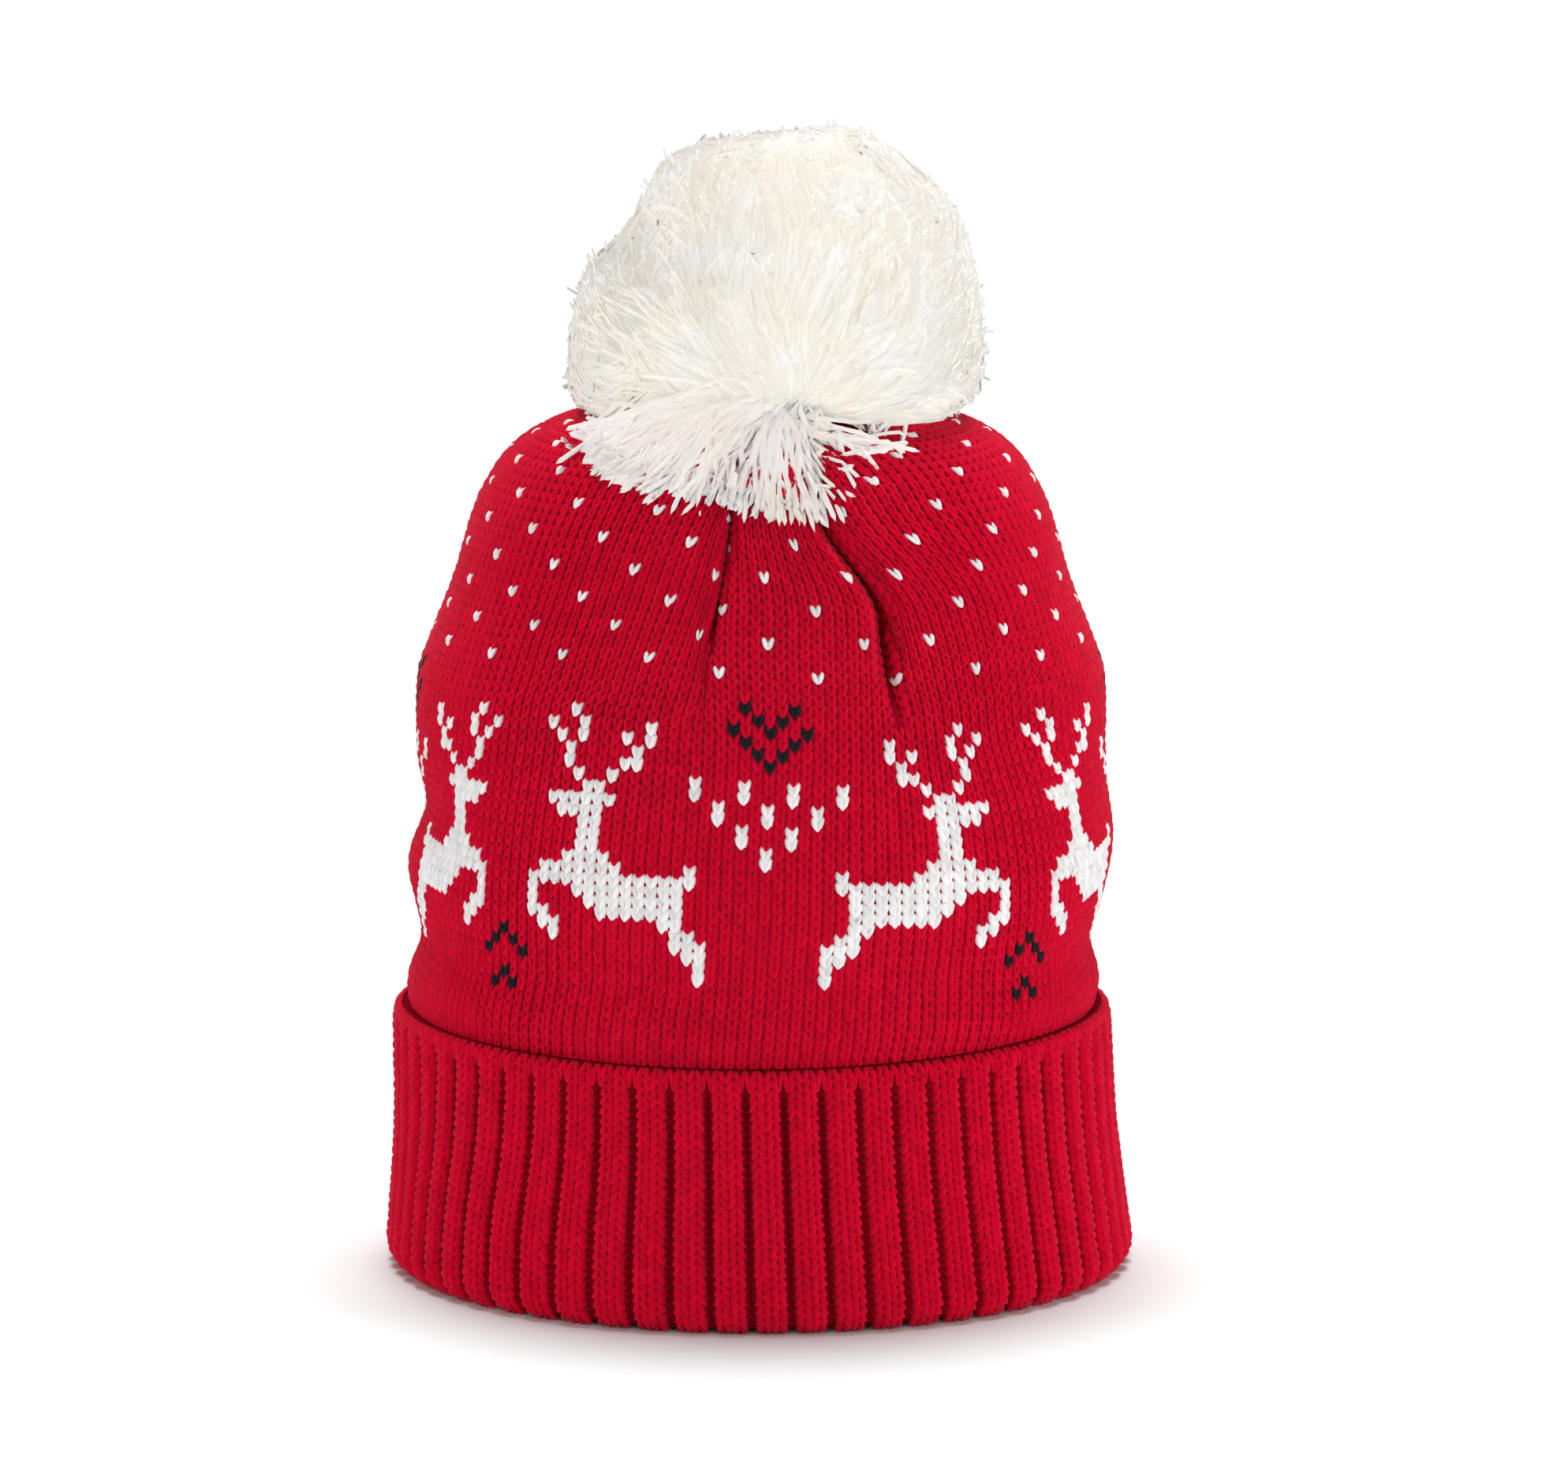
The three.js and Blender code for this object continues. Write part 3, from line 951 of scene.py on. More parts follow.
def stray_fibres(surface, u, v, pitch, chance):
    """Fine fibres that start in the stitches of a cloth and bend away over it in any direction."""
    count = len(u)
    share = np.array([0, 0.5, 1.0])
    turn = chance.uniform(0, 2 * np.pi, (count, 1)) + chance.normal(0, FUZZ_CURL, (count, 1)) * share
    reach = chance.uniform(*FUZZ_REACH, (count, 1)) * share
    lift = FUZZ_START + chance.uniform(*FUZZ_RISE, (count, 1)) * share
    u = u[:, None] + np.cos(turn) * reach / pitch
    spine, normal = lifted(surface, u, v[:, None] + np.sin(turn) * reach, lift)
    radius = np.full(spine.shape[:2], FUZZ_RADIUS)
    points, faces, along, round_it = strand_spindles(spine, radius, FUZZ_SIDES)
    shade = np.repeat(chance.random(count), len(along) // count)
    outward = np.repeat(normal, [1, FUZZ_SIDES, 1], axis=1).reshape(-1, 3)
    return points, faces, shade, np.column_stack([round_it, along]), outward


class PompomBall:
    """The pompom's outline with its lumps, as a surface of the angle around and the travel up its profile."""

    def __init__(self):
        self.curve = smooth_curve(POMPOM_PROFILE)
        ring = self.curve["radius"] * np.gradient(self.curve["travel"])
        self.area = np.cumsum(ring) / ring.sum()

    def points(self, around, travel, lift=0.0):
        """Points of the outline, raised along the profile's normal."""
        columns = ("radius", "height", "shift", "out_r", "out_z")
        radius, height, shift, out_r, out_z = read(self.curve, travel, *columns)
        swell = bumps(POMPOM_LUMPS, around, height) * smooth(radius, 0, POLE_RADIUS) + lift
        return place(around, np.maximum(radius + out_r * swell, LEAST_RADIUS), height + out_z * swell, shift)

    def spread(self, count):
        """Evenly spread places on the outline: equal shares of its area, a golden angle apart."""
        share = (np.arange(count) + 0.5) / count
        travel = np.interp(share, self.area, self.curve["travel"])
        around = (np.arange(count) * 180 * (3 - math.sqrt(5))) % 360 - 180
        return around, travel


class Finish:
    """A node material in the making. An input is given a socket to link, or a value to hold."""

    def __init__(self, name):
        self.material = bpy.data.materials.new(name)
        self.material.use_nodes = True
        self.nodes = self.material.node_tree.nodes
        self.links = self.material.node_tree.links

    def fill(self, node, inputs):
        """Links or sets the named inputs of a node."""
        for name, given in inputs.items():
            if isinstance(given, bpy.types.NodeSocket):
                self.links.new(given, node.inputs[name])
            else:
                node.inputs[name].default_value = given

    def node(self, kind, output, inputs, **settings):
        """A new node's output."""
        node = self.nodes.new("ShaderNode" + kind)
        for name, value in settings.items():
            setattr(node, name, value)
        self.fill(node, inputs)
        return node.outputs[output]

    def shade(self):
        """The number that each point of a piece carries."""
        return self.node("Attribute", "Fac", {}, attribute_name="shade")

    def fibre_map(self):
        """The piece's own UV, along its yarn."""
        return self.node("UVMap", "UV", {}, uv_map="fibre")

    def ramp(self, factor, *stops):
        """A colour ramp from a factor. A stop is a position and a colour."""
        node = self.nodes.new("ShaderNodeValToRGB")
        elements = node.color_ramp.elements
        for end in (0, -1):
            elements[end].position = stops[end][0]
            elements[end].color = (*stops[end][1], 1)
        for position, colour in stops[1:-1]:
            elements.new(position).color = (*colour, 1)
        self.links.new(factor, node.inputs["Fac"])
        return node.outputs["Color"]

    def multiplied(self, colour, by, factor):
        """A colour multiplied by another as far as a factor says."""
        inputs = {"Factor": factor, "A": colour, "B": by}
        return self.node("Mix", "Result", inputs, data_type="RGBA", blend_type="MULTIPLY")

    def relief(self, height, strength, distance):
        """The normal of a fine relief, whose distance is in metres."""
        return self.node("Bump", "Normal", {"Height": height, "Strength": strength, "Distance": distance})

    def done(self, inputs):
        """The material, with these inputs of its shader."""
        self.fill(self.nodes["Principled BSDF"], inputs)
        return self.material


def tinted(colour, share):
    """A colour made lighter or darker."""
    return tuple(min(c * share, 1.0) for c in colour)


def yarn_material(name, colour):
    """Soft spun yarn: each stitch has its own shade, and fibres run along it as fine ridges."""
    finish = Finish(name)
    dark, light = (tinted(colour, share) for share in YARN_SHADES)
    base = finish.ramp(finish.shade(), (0.0, dark), (0.55, colour), (1.0, light))
    slanted = {"Vector": finish.fibre_map(), "Scale": (9, 1.6, 1), "Rotation": (0, 0, math.radians(28))}
    noise = {"Scale": 1.6, "Detail": 4, "Roughness": 0.65}
    noise["Vector"] = finish.node("Mapping", "Vector", slanted)
    fibre = finish.node("TexNoise", "Fac", noise)
    streaks = finish.ramp(fibre, (0.3, (0.62, 0.62, 0.62)), (0.62, (1, 1, 1)))
    return finish.done({
        "Base Color": finish.multiplied(base, streaks, factor=0.35),
        "Normal": finish.relief(fibre, strength=0.8, distance=0.00018),
        "Roughness": 0.95,
        "Specular IOR Level": 0.03,
        "Sheen Weight": 0.07,
        "Sheen Roughness": 0.4,
    })


def backing_material(name, colour):
    """The reverse of the knit: rows of purl bumps on the piece's own UV, whose units are wales and rows."""
    finish = Finish(name)
    wave = {"Vector": finish.fibre_map(), "Scale": math.pi / 10, "Distortion": 0.4}
    waves = [finish.node("TexWave", "Fac", wave, bands_direction=direction) for direction in "XY"]
    purl = finish.node("Math", "Value", dict(enumerate(waves)), operation="MULTIPLY")
    return finish.done({
        # Painted shade: the hollows between the purl bumps are painted down to half the colour
        "Base Color": finish.ramp(purl, (0.0, tinted(colour, share=0.5)), (0.8, colour)),
        "Normal": finish.relief(purl, strength=1.0, distance=0.0007),
        "Roughness": 0.95,
        "Specular IOR Level": 0.03,
    })


def pompom_material(name, tip, root):
    """Yarn that goes from its root colour to its tip colour as its shade says, whiter at its cut ends."""
    finish = Finish(name)
    # On the pompom's own yarn the root colour is darker and warmer: painted shade where the strands lie under
    # one another
    base = finish.ramp(finish.shade(), (0.0, root), (0.75, tip), (1.0, tinted(tip, share=1.03)))
    place_on = finish.node("TexCoord", "Object", {})
    patch = finish.node("TexNoise", "Fac", {"Vector": place_on, "Scale": 60, "Detail": 3})
    warmth = finish.ramp(patch, (0.35, (1.0, 0.965, 0.88)), (0.6, (1, 1, 1)))
    wave = {"Vector": finish.fibre_map(), "Scale": 4, "Distortion": 2}
    twist = finish.node("TexWave", "Fac", wave, bands_direction="DIAGONAL")
    return finish.done({
        "Base Color": finish.multiplied(base, warmth, factor=0.6),
        "Normal": finish.relief(twist, strength=0.5, distance=0.00015),
        "Roughness": 0.95,
        "Specular IOR Level": 0.1,
        "Sheen Weight": 0.3,
        "Sheen Roughness": 0.5,
    })


def colour_property(name, description, default):
    """A colour that the user can change."""
    limits = {"size": 3, "min": 0, "max": 1}
    return FloatVectorProperty(name=name, description=description, subtype="COLOR", default=default, **limits)


def length_property(name, description, millimetres):
    """A length that the user can change."""
    shown = {"unit": "LENGTH", "precision": 5, "min": 0}
    return FloatProperty(name=name, description=description, default=millimetres * MM, **shown)


def count_property(name, description, default, least=10):
    """A number of stitches, ribs or strands that the user can change."""
    return IntProperty(name=name, description=description, default=default, min=least)


def strength_property(name, description, default):
    """A light's strength that the user can change."""
    return FloatProperty(name=name, description=description, default=default, min=0)


class KnitSettings(PropertyGroup):
    """The crown's and the cuff's knitting"""

    wales: count_property("Wales", "Stitches once round the crown", 176, 44)
    row_pitch: length_property("Row pitch", "Height of one row of the crown", 2.72)
    ribs: count_property("Ribs", "Ribs once round the cuff", 60, 12)
    rib_depth: length_property("Rib depth", "How deep the valleys between the ribs are", 3.1)
    rib_row_pitch: length_property("Rib row pitch", "Height of one row of the cuff", 2.42)
    crown_fuzz: count_property("Crown fuzz", "Stray fibres over the crown", 3500)
    cuff_fuzz: count_property("Cuff fuzz", "Stray fibres over the cuff", 2000)
    red: colour_property("Red yarn", "The ground of the crown, and the cuff", (0.62, 0.0014, 0.026))
    white: colour_property("White yarn", "The deer, the lattice and the dots", (0.86, 0.83, 0.83))
    black: colour_property("Black yarn", "The small dark motifs", (0.016, 0.015, 0.019))


class PompomSettings(PropertyGroup):
    """The pompom's yarn"""

    tufts: count_property("Tufts", "Cut yarn ends on the ball", 5000, 100)
    fluff: count_property("Fluff", "Fine fibres at the yarn ends", 5500, 100)
    fan_strands: count_property("Front strands", "Strands over the ball's front", 4300)
    back_strands: count_property("Back strands", "Strands over the ball's back", 2500)
    cap_strands: count_property("Top strands", "Strands over the ball's top", 1400)
    hanging_strands: count_property("Hanging strands", "Strands over the crown", 540)
    yarn_radius: length_property("Yarn radius", "Half the thickness of one strand", 0.55)
    tip: colour_property("Tip colour", "The cut ends of the yarn", (0.94, 0.905, 0.865))
    # The root colour is darker and warmer than the tip colour: painted shade deep among the strands
    root: colour_property("Root colour", "The yarn between the ends", (0.87, 0.82, 0.735))
    loose: colour_property("Loose colour", "The strands over the crown", (0.93, 0.865, 0.845))


class StageSettings(PropertyGroup):
    """The floor, the light and the camera"""

    floor_radius: length_property("Floor radius", "How far the pale floor reaches", 30000)
    floor: colour_property("Floor colour", "The pale floor", (0.90, 0.96, 0.96))
    sky: strength_property("Room light", "Strength of the light from all round", 0.18)
    key: strength_property("Key light", "Strength of the light from above", 2.75)
    left: strength_property("Left light", "Strength of the light from the left front", 2.1)
    right: strength_property("Right light", "Strength of the light from the right front", 2.92)
    camera_back: length_property("Camera distance", "How far the camera stands in front of the hat", 2500)
    camera_side: length_property("Camera side", "How far the camera stands to the right", 6.1)
    camera_height: length_property("Camera height", "How high the camera stands", 548.2)
    camera_pitch: FloatProperty(
        name="Camera pitch",
        description="How far the camera looks down",
        subtype="ANGLE",
        default=math.radians(9.36),
    )
    lens: FloatProperty(name="Lens", description="Focal length in millimetres", default=228.85, min=20)


class HatSettings(PropertyGroup):
    """Everything that the hat is made from"""

    knit: PointerProperty(type=KnitSettings)
    pompom: PointerProperty(type=PompomSettings)
    stage: PointerProperty(type=StageSettings)


class HAT_OT_crown(Operator):
    """Knits the crown: a wall of cloth and, on it, every stitch of the red ground, the deer and the motifs"""

    bl_idname = "hat.crown"
    bl_label = "Knit the crown"

    def execute(self, context):
        knit = context.scene.bobble_hat.knit
        chance = np.random.default_rng(CROWN_SEED)
        cloth = CrownCloth(knit.wales, knit.row_pitch / MM)
        wall = self.wall(cloth, knit)
        column, row, travel = self.stitches(cloth)
        yarn = chart_yarns(row, np.round(column).astype(int))
        half_way = np.median(row)
        single = row >= DOT_FIRST_ROW
        groups = [
            ("crown_red_low", (yarn == RED) & (row <= half_way), knit.red, 1.0, LEG),
            ("crown_red_high", (yarn == RED) & (row > half_way), knit.red, 1.0, LEG),
            ("crown_white", (yarn == WHITE) & ~single, knit.white, WHITE_SIZE, LEG),
            ("crown_white_pads", (yarn == WHITE) & ~single, knit.white, 1.0, PAD),
            ("crown_dots", (yarn == WHITE) & single, knit.white, DOT_SIZE, DOT_LEG),
            ("crown_black", yarn == BLACK, knit.black, BLACK_SIZE, LEG),
            ("crown_black_pads", yarn == BLACK, knit.black, 1.0, PAD),
        ]
        pieces = [
            self.legs(name, cloth, column[some], travel[some], tuple(colour), size, leg, chance)
            for name, some, colour, size, leg in groups
        ]
        pieces.append(self.fuzz(cloth, knit, chance))
        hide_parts("crown")
        return {"FINISHED"}

    def stitches(self, cloth):
        """The column, row and travel of each stitch, from under the cuff to under the pompom.

        Rows are counted from the deer's head row. Stitches deep in a fold are left out.
        """
        last = int((cloth.top - cloth.head_row) / cloth.row_pitch)
        places = np.meshgrid(cloth.columns() + 0.5, np.arange(LOWEST_ROW, last + 1))
        column, row = (values.ravel() for values in places)
        level = cloth.head_row + row * cloth.row_pitch
        travel = level - cloth.sag(column, level)
        panel = cloth.panel(column)
        deep, left_side = cloth.tuck(column, travel, panel)[1:]
        sunk = cloth.sink(deep, left_side, FULL_RADIUS, read(cloth.curve, travel, "height"), panel)
        shown = (travel > LEAST_TRAVEL) & ((deep < DEEPEST_STITCH) | (sunk < SHALLOW_FOLD))
        return column[shown], row[shown], travel[shown]

    def legs(self, name, cloth, column, travel, colour, size, leg, chance):
        """Two legs for each stitch, one to each side of its wale's middle, or one pad."""
        slants = (1.0,) if leg is PAD else (-1.0, 1.0)
        slant = np.repeat(slants, len(column))
        column, travel = (np.tile(values, len(slants)) for values in (column, travel))
        surface = cloth.on_panels(column)
        centre = column + slant * LEG_OFFSET
        legs = knit_legs(surface, centre, travel, slant, cloth.wale_pitch, chance, size, leg)
        return knit_piece(name, legs, yarn_material(name + "_yarn", colour))

    def fuzz(self, cloth, knit, chance):
        """Stray fibres over the crown, from the cuff to the pompom."""
        column = cloth.cuts[0] + cloth.wales * chance.random(knit.crown_fuzz)
        travel = chance.uniform(LEAST_TRAVEL, cloth.top, knit.crown_fuzz)
        fibres = stray_fibres(cloth.on_panels(column), column, travel, cloth.wale_pitch, chance)
        return knit_piece("crown_fuzz", fibres, yarn_material("crown_fuzz_yarn", tuple(knit.red)))

    def wall(self, cloth, knit):
        """The wall under the stitches: up the outside, a little sunk, over the hole and down the inside."""
        column = cloth.columns()
        end = cloth.curve["travel"][-1]
        outer, inner = CROWN_ROWS
        travel = np.concatenate([np.linspace(0, end, outer), np.linspace(end, 0, inner)])[:, None]
        inset = np.repeat([BACKING_DROP, CROWN_WALL], CROWN_ROWS)[:, None]
        points = cloth.points(column[None], travel, cloth.panel(column)[None], inset)
        # The wall takes the red yarn's colour, darkened as painted shade in the gaps between the stitches
        material = backing_material("crown_backing", tinted(knit.red, CROWN_BACKING_PAINTED_SHADE))
        return closed_wall("crown_wall", points, column, travel / cloth.row_pitch, material)


class HAT_OT_cuff(Operator):
    """Knits the turned-up cuff: a folded ribbed band and its stitches"""

    bl_idname = "hat.cuff"
    bl_label = "Knit the cuff"

    def execute(self, context):
        knit = context.scene.bobble_hat.knit
        chance = np.random.default_rng(CUFF_SEED)
        cloth = CuffCloth(knit.ribs, knit.rib_depth / MM)
        wall = self.wall(cloth, knit)
        end = cloth.curve["travel"][-1]
        rows = np.arange(FIRST_RIB_ROW, end - RIM_MARGIN, knit.rib_row_pitch / MM)
        in_rim = rows > end - RIM_BAND
        groups = [(RIB_LEGS, rows), (RIM_LEGS, rows[in_rim]), (POINT_LEGS, rows[~in_rim][-1:])]
        parts = [self.columns(legs, knit.ribs, shown) for legs, shown in groups]
        centre, travel, slant, size = (np.concatenate(values) for values in zip(*parts))
        pitch = 2 * math.pi * CUFF_PATH["radius"].max() / knit.ribs
        legs = knit_legs(cloth.points, centre, travel, slant, pitch, chance, size)
        material = yarn_material("cuff_yarn", tuple(knit.red))
        ribs = knit_piece("cuff_ribs", legs, material)
        rib = knit.ribs * chance.random(knit.cuff_fuzz)
        travel = chance.uniform(CUFF_FUZZ_START * end, end, knit.cuff_fuzz)
        fibres = stray_fibres(cloth.points, rib, travel, pitch, chance)
        fuzz = knit_piece("cuff_fuzz", fibres, material)
        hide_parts("cuff")
        return {"FINISHED"}

    def columns(self, legs, ribs, rows):
        """Where the legs of a table lie on every rib and row, their slants and their sizes."""
        places = np.meshgrid(np.arange(len(legs["share"])), np.arange(ribs), rows)
        which, rib, travel = (values.ravel() for values in places)
        return rib + legs["share"][which], travel, legs["slant"][which], legs["size"][which]

    def wall(self, cloth, knit):
        """The folded band's closed section, carried round the hat with its rib relief."""
        rib = np.arange(knit.ribs * RIB_COLUMNS) / RIB_COLUMNS
        outer = np.linspace(0, cloth.curve["travel"][-1], CUFF_ROWS)[:, None]
        outside = cloth.points(rib[None], outer, inset=BACKING_DROP)
        rows = len(CUFF_INSIDE["height"])
        travel = np.arange(rows, dtype=float)
        section = dict(CUFF_INSIDE, travel=travel, out_r=np.ones(rows), out_z=np.zeros(rows))
        inside = cloth.points(rib[None], travel[:, None], section)
        points = np.concatenate([outside, inside])
        steps = np.linspace(0, SECTION_ROWS, len(points))[:, None]
        # The band takes the red yarn's colour, darkened as painted shade in the valleys and the gaps between
        # stitches
        material = backing_material("cuff_backing", tinted(knit.red, CUFF_BACKING_PAINTED_SHADE))
        return closed_wall("cuff_wall", points, rib * RIB_WALES, steps, material)


class HAT_OT_pompom(Operator):
    """Makes the pompom: a dense core, cut yarn ends and their fluff, strands over it, and loose strands"""

    bl_idname = "hat.pompom"
    bl_label = "Make the pompom"

    def execute(self, context):
        settings = context.scene.bobble_hat.pompom
        chance = np.random.default_rng(POMPOM_SEED)
        ball = PompomBall()
        tip, root = tuple(settings.tip), tuple(settings.root)
        yarn = pompom_material("pompom_yarn", tip, root)
        core = self.core(ball, pompom_material("pompom_core_yarn", tinted(root, CORE_TINT), root))
        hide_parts("pompom")
        self.tufts(ball, settings, yarn, chance)
        self.fluff(ball, settings, yarn, chance)
        front = (settings.fan_strands, PARTING_AROUND, PARTING_TRAVEL)
        back = (settings.back_strands, BACK_AROUND, BACK_TRAVEL)
        for name, fan in (("pompom_fan", front), ("pompom_back", back)):
            self.fan(ball, settings, yarn, chance, name, *fan)
        self.cap(ball, settings, yarn, chance)
        loose = pompom_material("loose_yarn", tuple(settings.loose), tip)
        under = int(settings.hanging_strands * HANGING_UNDER)
        over = settings.hanging_strands - under
        for name, count, heap in (("pompom_under", under, UNDER_HEAP), ("pompom_hanging", over, 1.0)):
            self.hanging(ball, settings, loose, chance, name, count, heap)
        return {"FINISHED"}

    def core(self, ball, material):
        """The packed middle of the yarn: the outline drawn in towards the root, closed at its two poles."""
        around = np.arange(CORE_COLUMNS) * 360 / CORE_COLUMNS
        travel = np.linspace(0, ball.curve["travel"][-1], CORE_ROWS)[:, None]
        outline = ball.points(around[None], travel)
        points, faces = capped_rings(POMPOM_ROOT + (outline - POMPOM_ROOT) * POMPOM_CORE)
        # A shade of 0 gives the core the darker root colour: painted shade deep among the strands
        shade = np.zeros(len(points))
        look = (material, shade, points[:, :2], POMPOM_MIDDLE)
        return self.piece("pompom_core", points, faces, *look, SOFTNESS, dense=True)

    def tufts(self, ball, settings, material, chance):
        """Cut yarn ends: each runs out to the outline, bent a little to one side, with a blunt end.

        Fewer of them stand in front and behind, where strands lie over the ball.
        """
        around, travel = ball.spread(settings.tufts)
        tip = ball.points(around, travel)
        covered = smooth(np.abs(tip[:, 1]), *COVERED_DEPTH) * (1 - smooth(tip[:, 2], *BARE_HEIGHT))
        shown = chance.random(len(tip)) > TUFTS_COVERED * covered
        count = np.count_nonzero(shown)
        around = around[shown] + chance.normal(0, TUFT_STRAY, count)
        tip = ball.points(around, travel[shown], chance.normal(*TUFT_LIFT, count))
        root = self.roots(tip)
        start = root + (tip - root) * chance.uniform(*TUFT_START, (count, 1))
        share = TUFT["share"][:, None]
        side = chance.normal(0, TUFT_BEND, (count, 1, 3))
        bend = side * (2 * share * (1 - share) + TIP_BEND * share**2)
        spine = start[:, None] + (tip - start)[:, None] * share + bend
        radius = self.thickness(TUFT, settings, count, chance)
        tone = chance.normal(0, TUFT["tone"], count)
        return self.strands("pompom_tufts", TUFT, spine, radius, tone, material)

    def roots(self, tip):
        """Where the yarn of each end comes from: the middle of the ball, or for ends in front the parting."""
        return POMPOM_ROOT + (PARTING - POMPOM_ROOT) * smooth(-tip[:, 1:2], *FRONT_BLEND)

    def fluff(self, ball, settings, material, chance):
        """Fine fibres that stand out of the yarn at any slant."""
        count = settings.fluff
        around, travel = ball.spread(count)
        start = ball.points(around + FLUFF_TURN, travel, chance.uniform(*FLUFF_START, count))
        away = unit(unit(start - self.roots(start)) + chance.normal(0, FLUFF_SLANT, (count, 3)))
        end = start + away * chance.uniform(*FLUFF_LENGTH, (count, 1))
        middle = (start + end) / 2 + chance.normal(0, FLUFF_BEND, start.shape)
        spine = np.stack([start, middle, end], axis=1)
        radius = np.full(spine.shape[:2], FLUFF_RADIUS)
        return self.strands("pompom_fluff", FLUFF, spine, radius, np.zeros(count), material)

    def fan(self, ball, settings, material, chance, name, count, from_around, from_travel):
        """Strands that lie on the ball in locks, along rays from one place, their tips drawn together."""
        locks = count // LOCK_STRANDS
        lock = chance.integers(0, locks, count)
        ray = np.radians(chance.uniform(*FAN_RAYS, locks))[lock] + chance.normal(0, RAY_STRAY, count)
        lock_reach = FAN_REACH[0] + FAN_REACH[1] * np.sqrt(chance.random(locks))
        reach = lock_reach[lock] + chance.normal(0, REACH_STRAY, count)
        reach = np.clip(reach, LEAST_REACH, FAN_TRAVEL / np.maximum(np.cos(ray), LEAST_CLIMB))
        first = np.maximum(reach - chance.uniform(*FAN_LENGTH, count), 0)
        share = FAN["share"]
        along = first[:, None] + (reach - first)[:, None] * share
        bent = ray[:, None] + chance.normal(0, LOCK_BEND, locks)[lock][:, None] * share
        aside = chance.normal(0, LOCK_WIDTH, count)[:, None] * (1 - LOCK_CLOSING * share)
        around = from_around + np.degrees((along * np.sin(bent) + aside * np.cos(bent)) / BALL_RADIUS)
        travel = from_travel + along * np.cos(bent) - aside * np.sin(bent)
        loose = (chance.random(count) < LOOSE_FAN)[:, None]
        heap = chance.uniform(*LOCK_HEAP, locks)[lock] + chance.uniform(*STRAND_HEAP, count)
        lift = heap[:, None] + (TIP_LIFT + LOOSE_LIFT * loose) * share
        waves = wiggles(count, share, FAN_WAVES, chance) * (1 + LOOSE_WAVES * loose[..., None])
        spine = ball.points(around, travel, lift) + waves
        radius = self.thickness(FAN, settings, count, chance)
        tone = chance.normal(0, FAN["tone"], locks)[lock] + chance.normal(0, FAN["tone"], count)
        return self.strands(name, FAN, spine, radius, tone, material)

    def cap(self, ball, settings, material, chance):
        """Strands over the ball's top, each on a line in plan that points roughly away from the pole."""
        count = settings.cap_strands
        far = CAP_RADIUS * np.sqrt(chance.random((count, 1)))
        turn = chance.uniform(0, 2 * np.pi, (count, 1))
        heading = turn + chance.normal(0, CAP_STRAY, (count, 1))
        share = CAP["share"]
        ahead = chance.uniform(*CAP_LENGTH, (count, 1)) * (share - 0.5)
        x = far * np.sin(turn) + ahead * np.sin(heading)
        y = -far * np.cos(turn) - ahead * np.cos(heading)
        top = slice(np.argmax(ball.curve["radius"]), None)
        travel = np.interp(-np.hypot(x, y), -ball.curve["radius"][top], ball.curve["travel"][top])
        lift = chance.uniform(*CAP_HEAP, (count, 1)) + TIP_LIFT * share
        waves = wiggles(count, share, CAP_WAVES, chance)
        spine = ball.points(np.degrees(np.arctan2(x, -y)), travel, lift) + waves
        radius = self.thickness(CAP, settings, count, chance)
        tone = chance.normal(0, CAP["tone"], count)
        return self.strands("pompom_cap", CAP, spine, radius, tone, material)

    def hanging(self, ball, settings, material, chance, name, count, heap):
        """Loose strands from the parting, bowed over the ball's lower edge and down to the crown's shoulder.

        A strand is the square-law curve from its root through its half-way point to its end, with small
        waves. heap is how high the highest of them lie, and those that lie underneath cast a shadow.
        """
        end_around, end = self.hanging_ends(count, chance)
        layer = heap * chance.random(count) ** HEAP_POWER
        spread = HANGING_SPREAD * chance.random(count) * np.clip(PARTING_AROUND - end_around, 0, None)
        start_around = PARTING_AROUND - spread + chance.normal(0, START_STRAY[0], count)
        start_travel = PARTING_TRAVEL + np.abs(chance.normal(0, START_STRAY[1], count))
        start_lift = START_LIFT - START_DROP * smooth(spread, *DROP_SPREAD)
        start = ball.points(start_around, start_travel + HANGING_RISE * spread * layer, start_lift)
        bow = HANGING_BOW + chance.uniform(*BOW_STRAY, count)
        left = smooth(-end_around, *LEFT_AROUND)
        lowest, highest = HANGING_BOW_HEIGHT
        bow_height = lowest + highest * layer * (1 + LEFT_BOW * left * layer)
        half_way = place(0.5 * (start_around + end_around), bow, bow_height)
        control = 2 * half_way - (start + end) / 2
        share = LOOSE["share"]
        s = share[:, None]
        spine = start[:, None] * (1 - s) ** 2 + 2 * control[:, None] * s * (1 - s) + end[:, None] * s**2
        spine = spine + wiggles(count, share, HANGING_WAVES, chance, HANGING_WAVE_TURNS)
        radius = self.thickness(LOOSE, settings, count, chance)
        tone = chance.normal(0, LOOSE["tone"], count)
        return self.strands(name, LOOSE, spine, radius, tone, material, HANGING_MIDDLE, heap < 1)

    def hanging_ends(self, count, chance):
        """Where the loose strands end: their angles, crowded as the table says, and places on the crown."""
        curve = smooth_curve(CROWN_PROFILE)
        crowd = np.cumsum(HANGING["crowd"] * np.gradient(HANGING["around"]))
        crowd = (crowd - crowd[0]) / (crowd[-1] - crowd[0])
        around = np.interp(chance.random(count), crowd, HANGING["around"])
        low = np.interp(around, HANGING["around"], HANGING["reach"])
        low = low + np.abs(chance.normal(0, END_STRAY[0], count))
        around = around + chance.normal(0, END_STRAY[1], count)
        outside = curve["radius"] > SHOULDER_RADIUS
        rising = curve["height"][outside]
        travel = np.interp(np.minimum(low, rising.max()), rising, curve["travel"][outside])
        radius, height, out_r, out_z = read(curve, travel, "radius", "height", "out_r", "out_z")
        return around, place(around, radius + out_r * HANGING_LIFT, height + out_z * HANGING_LIFT)

    def thickness(self, kind, settings, count, chance):
        """Half the thickness of strands of one kind, at each of their rings."""
        return settings.yarn_radius / MM * chance.uniform(*kind["yarn"], (count, 1)) * kind["thick"]

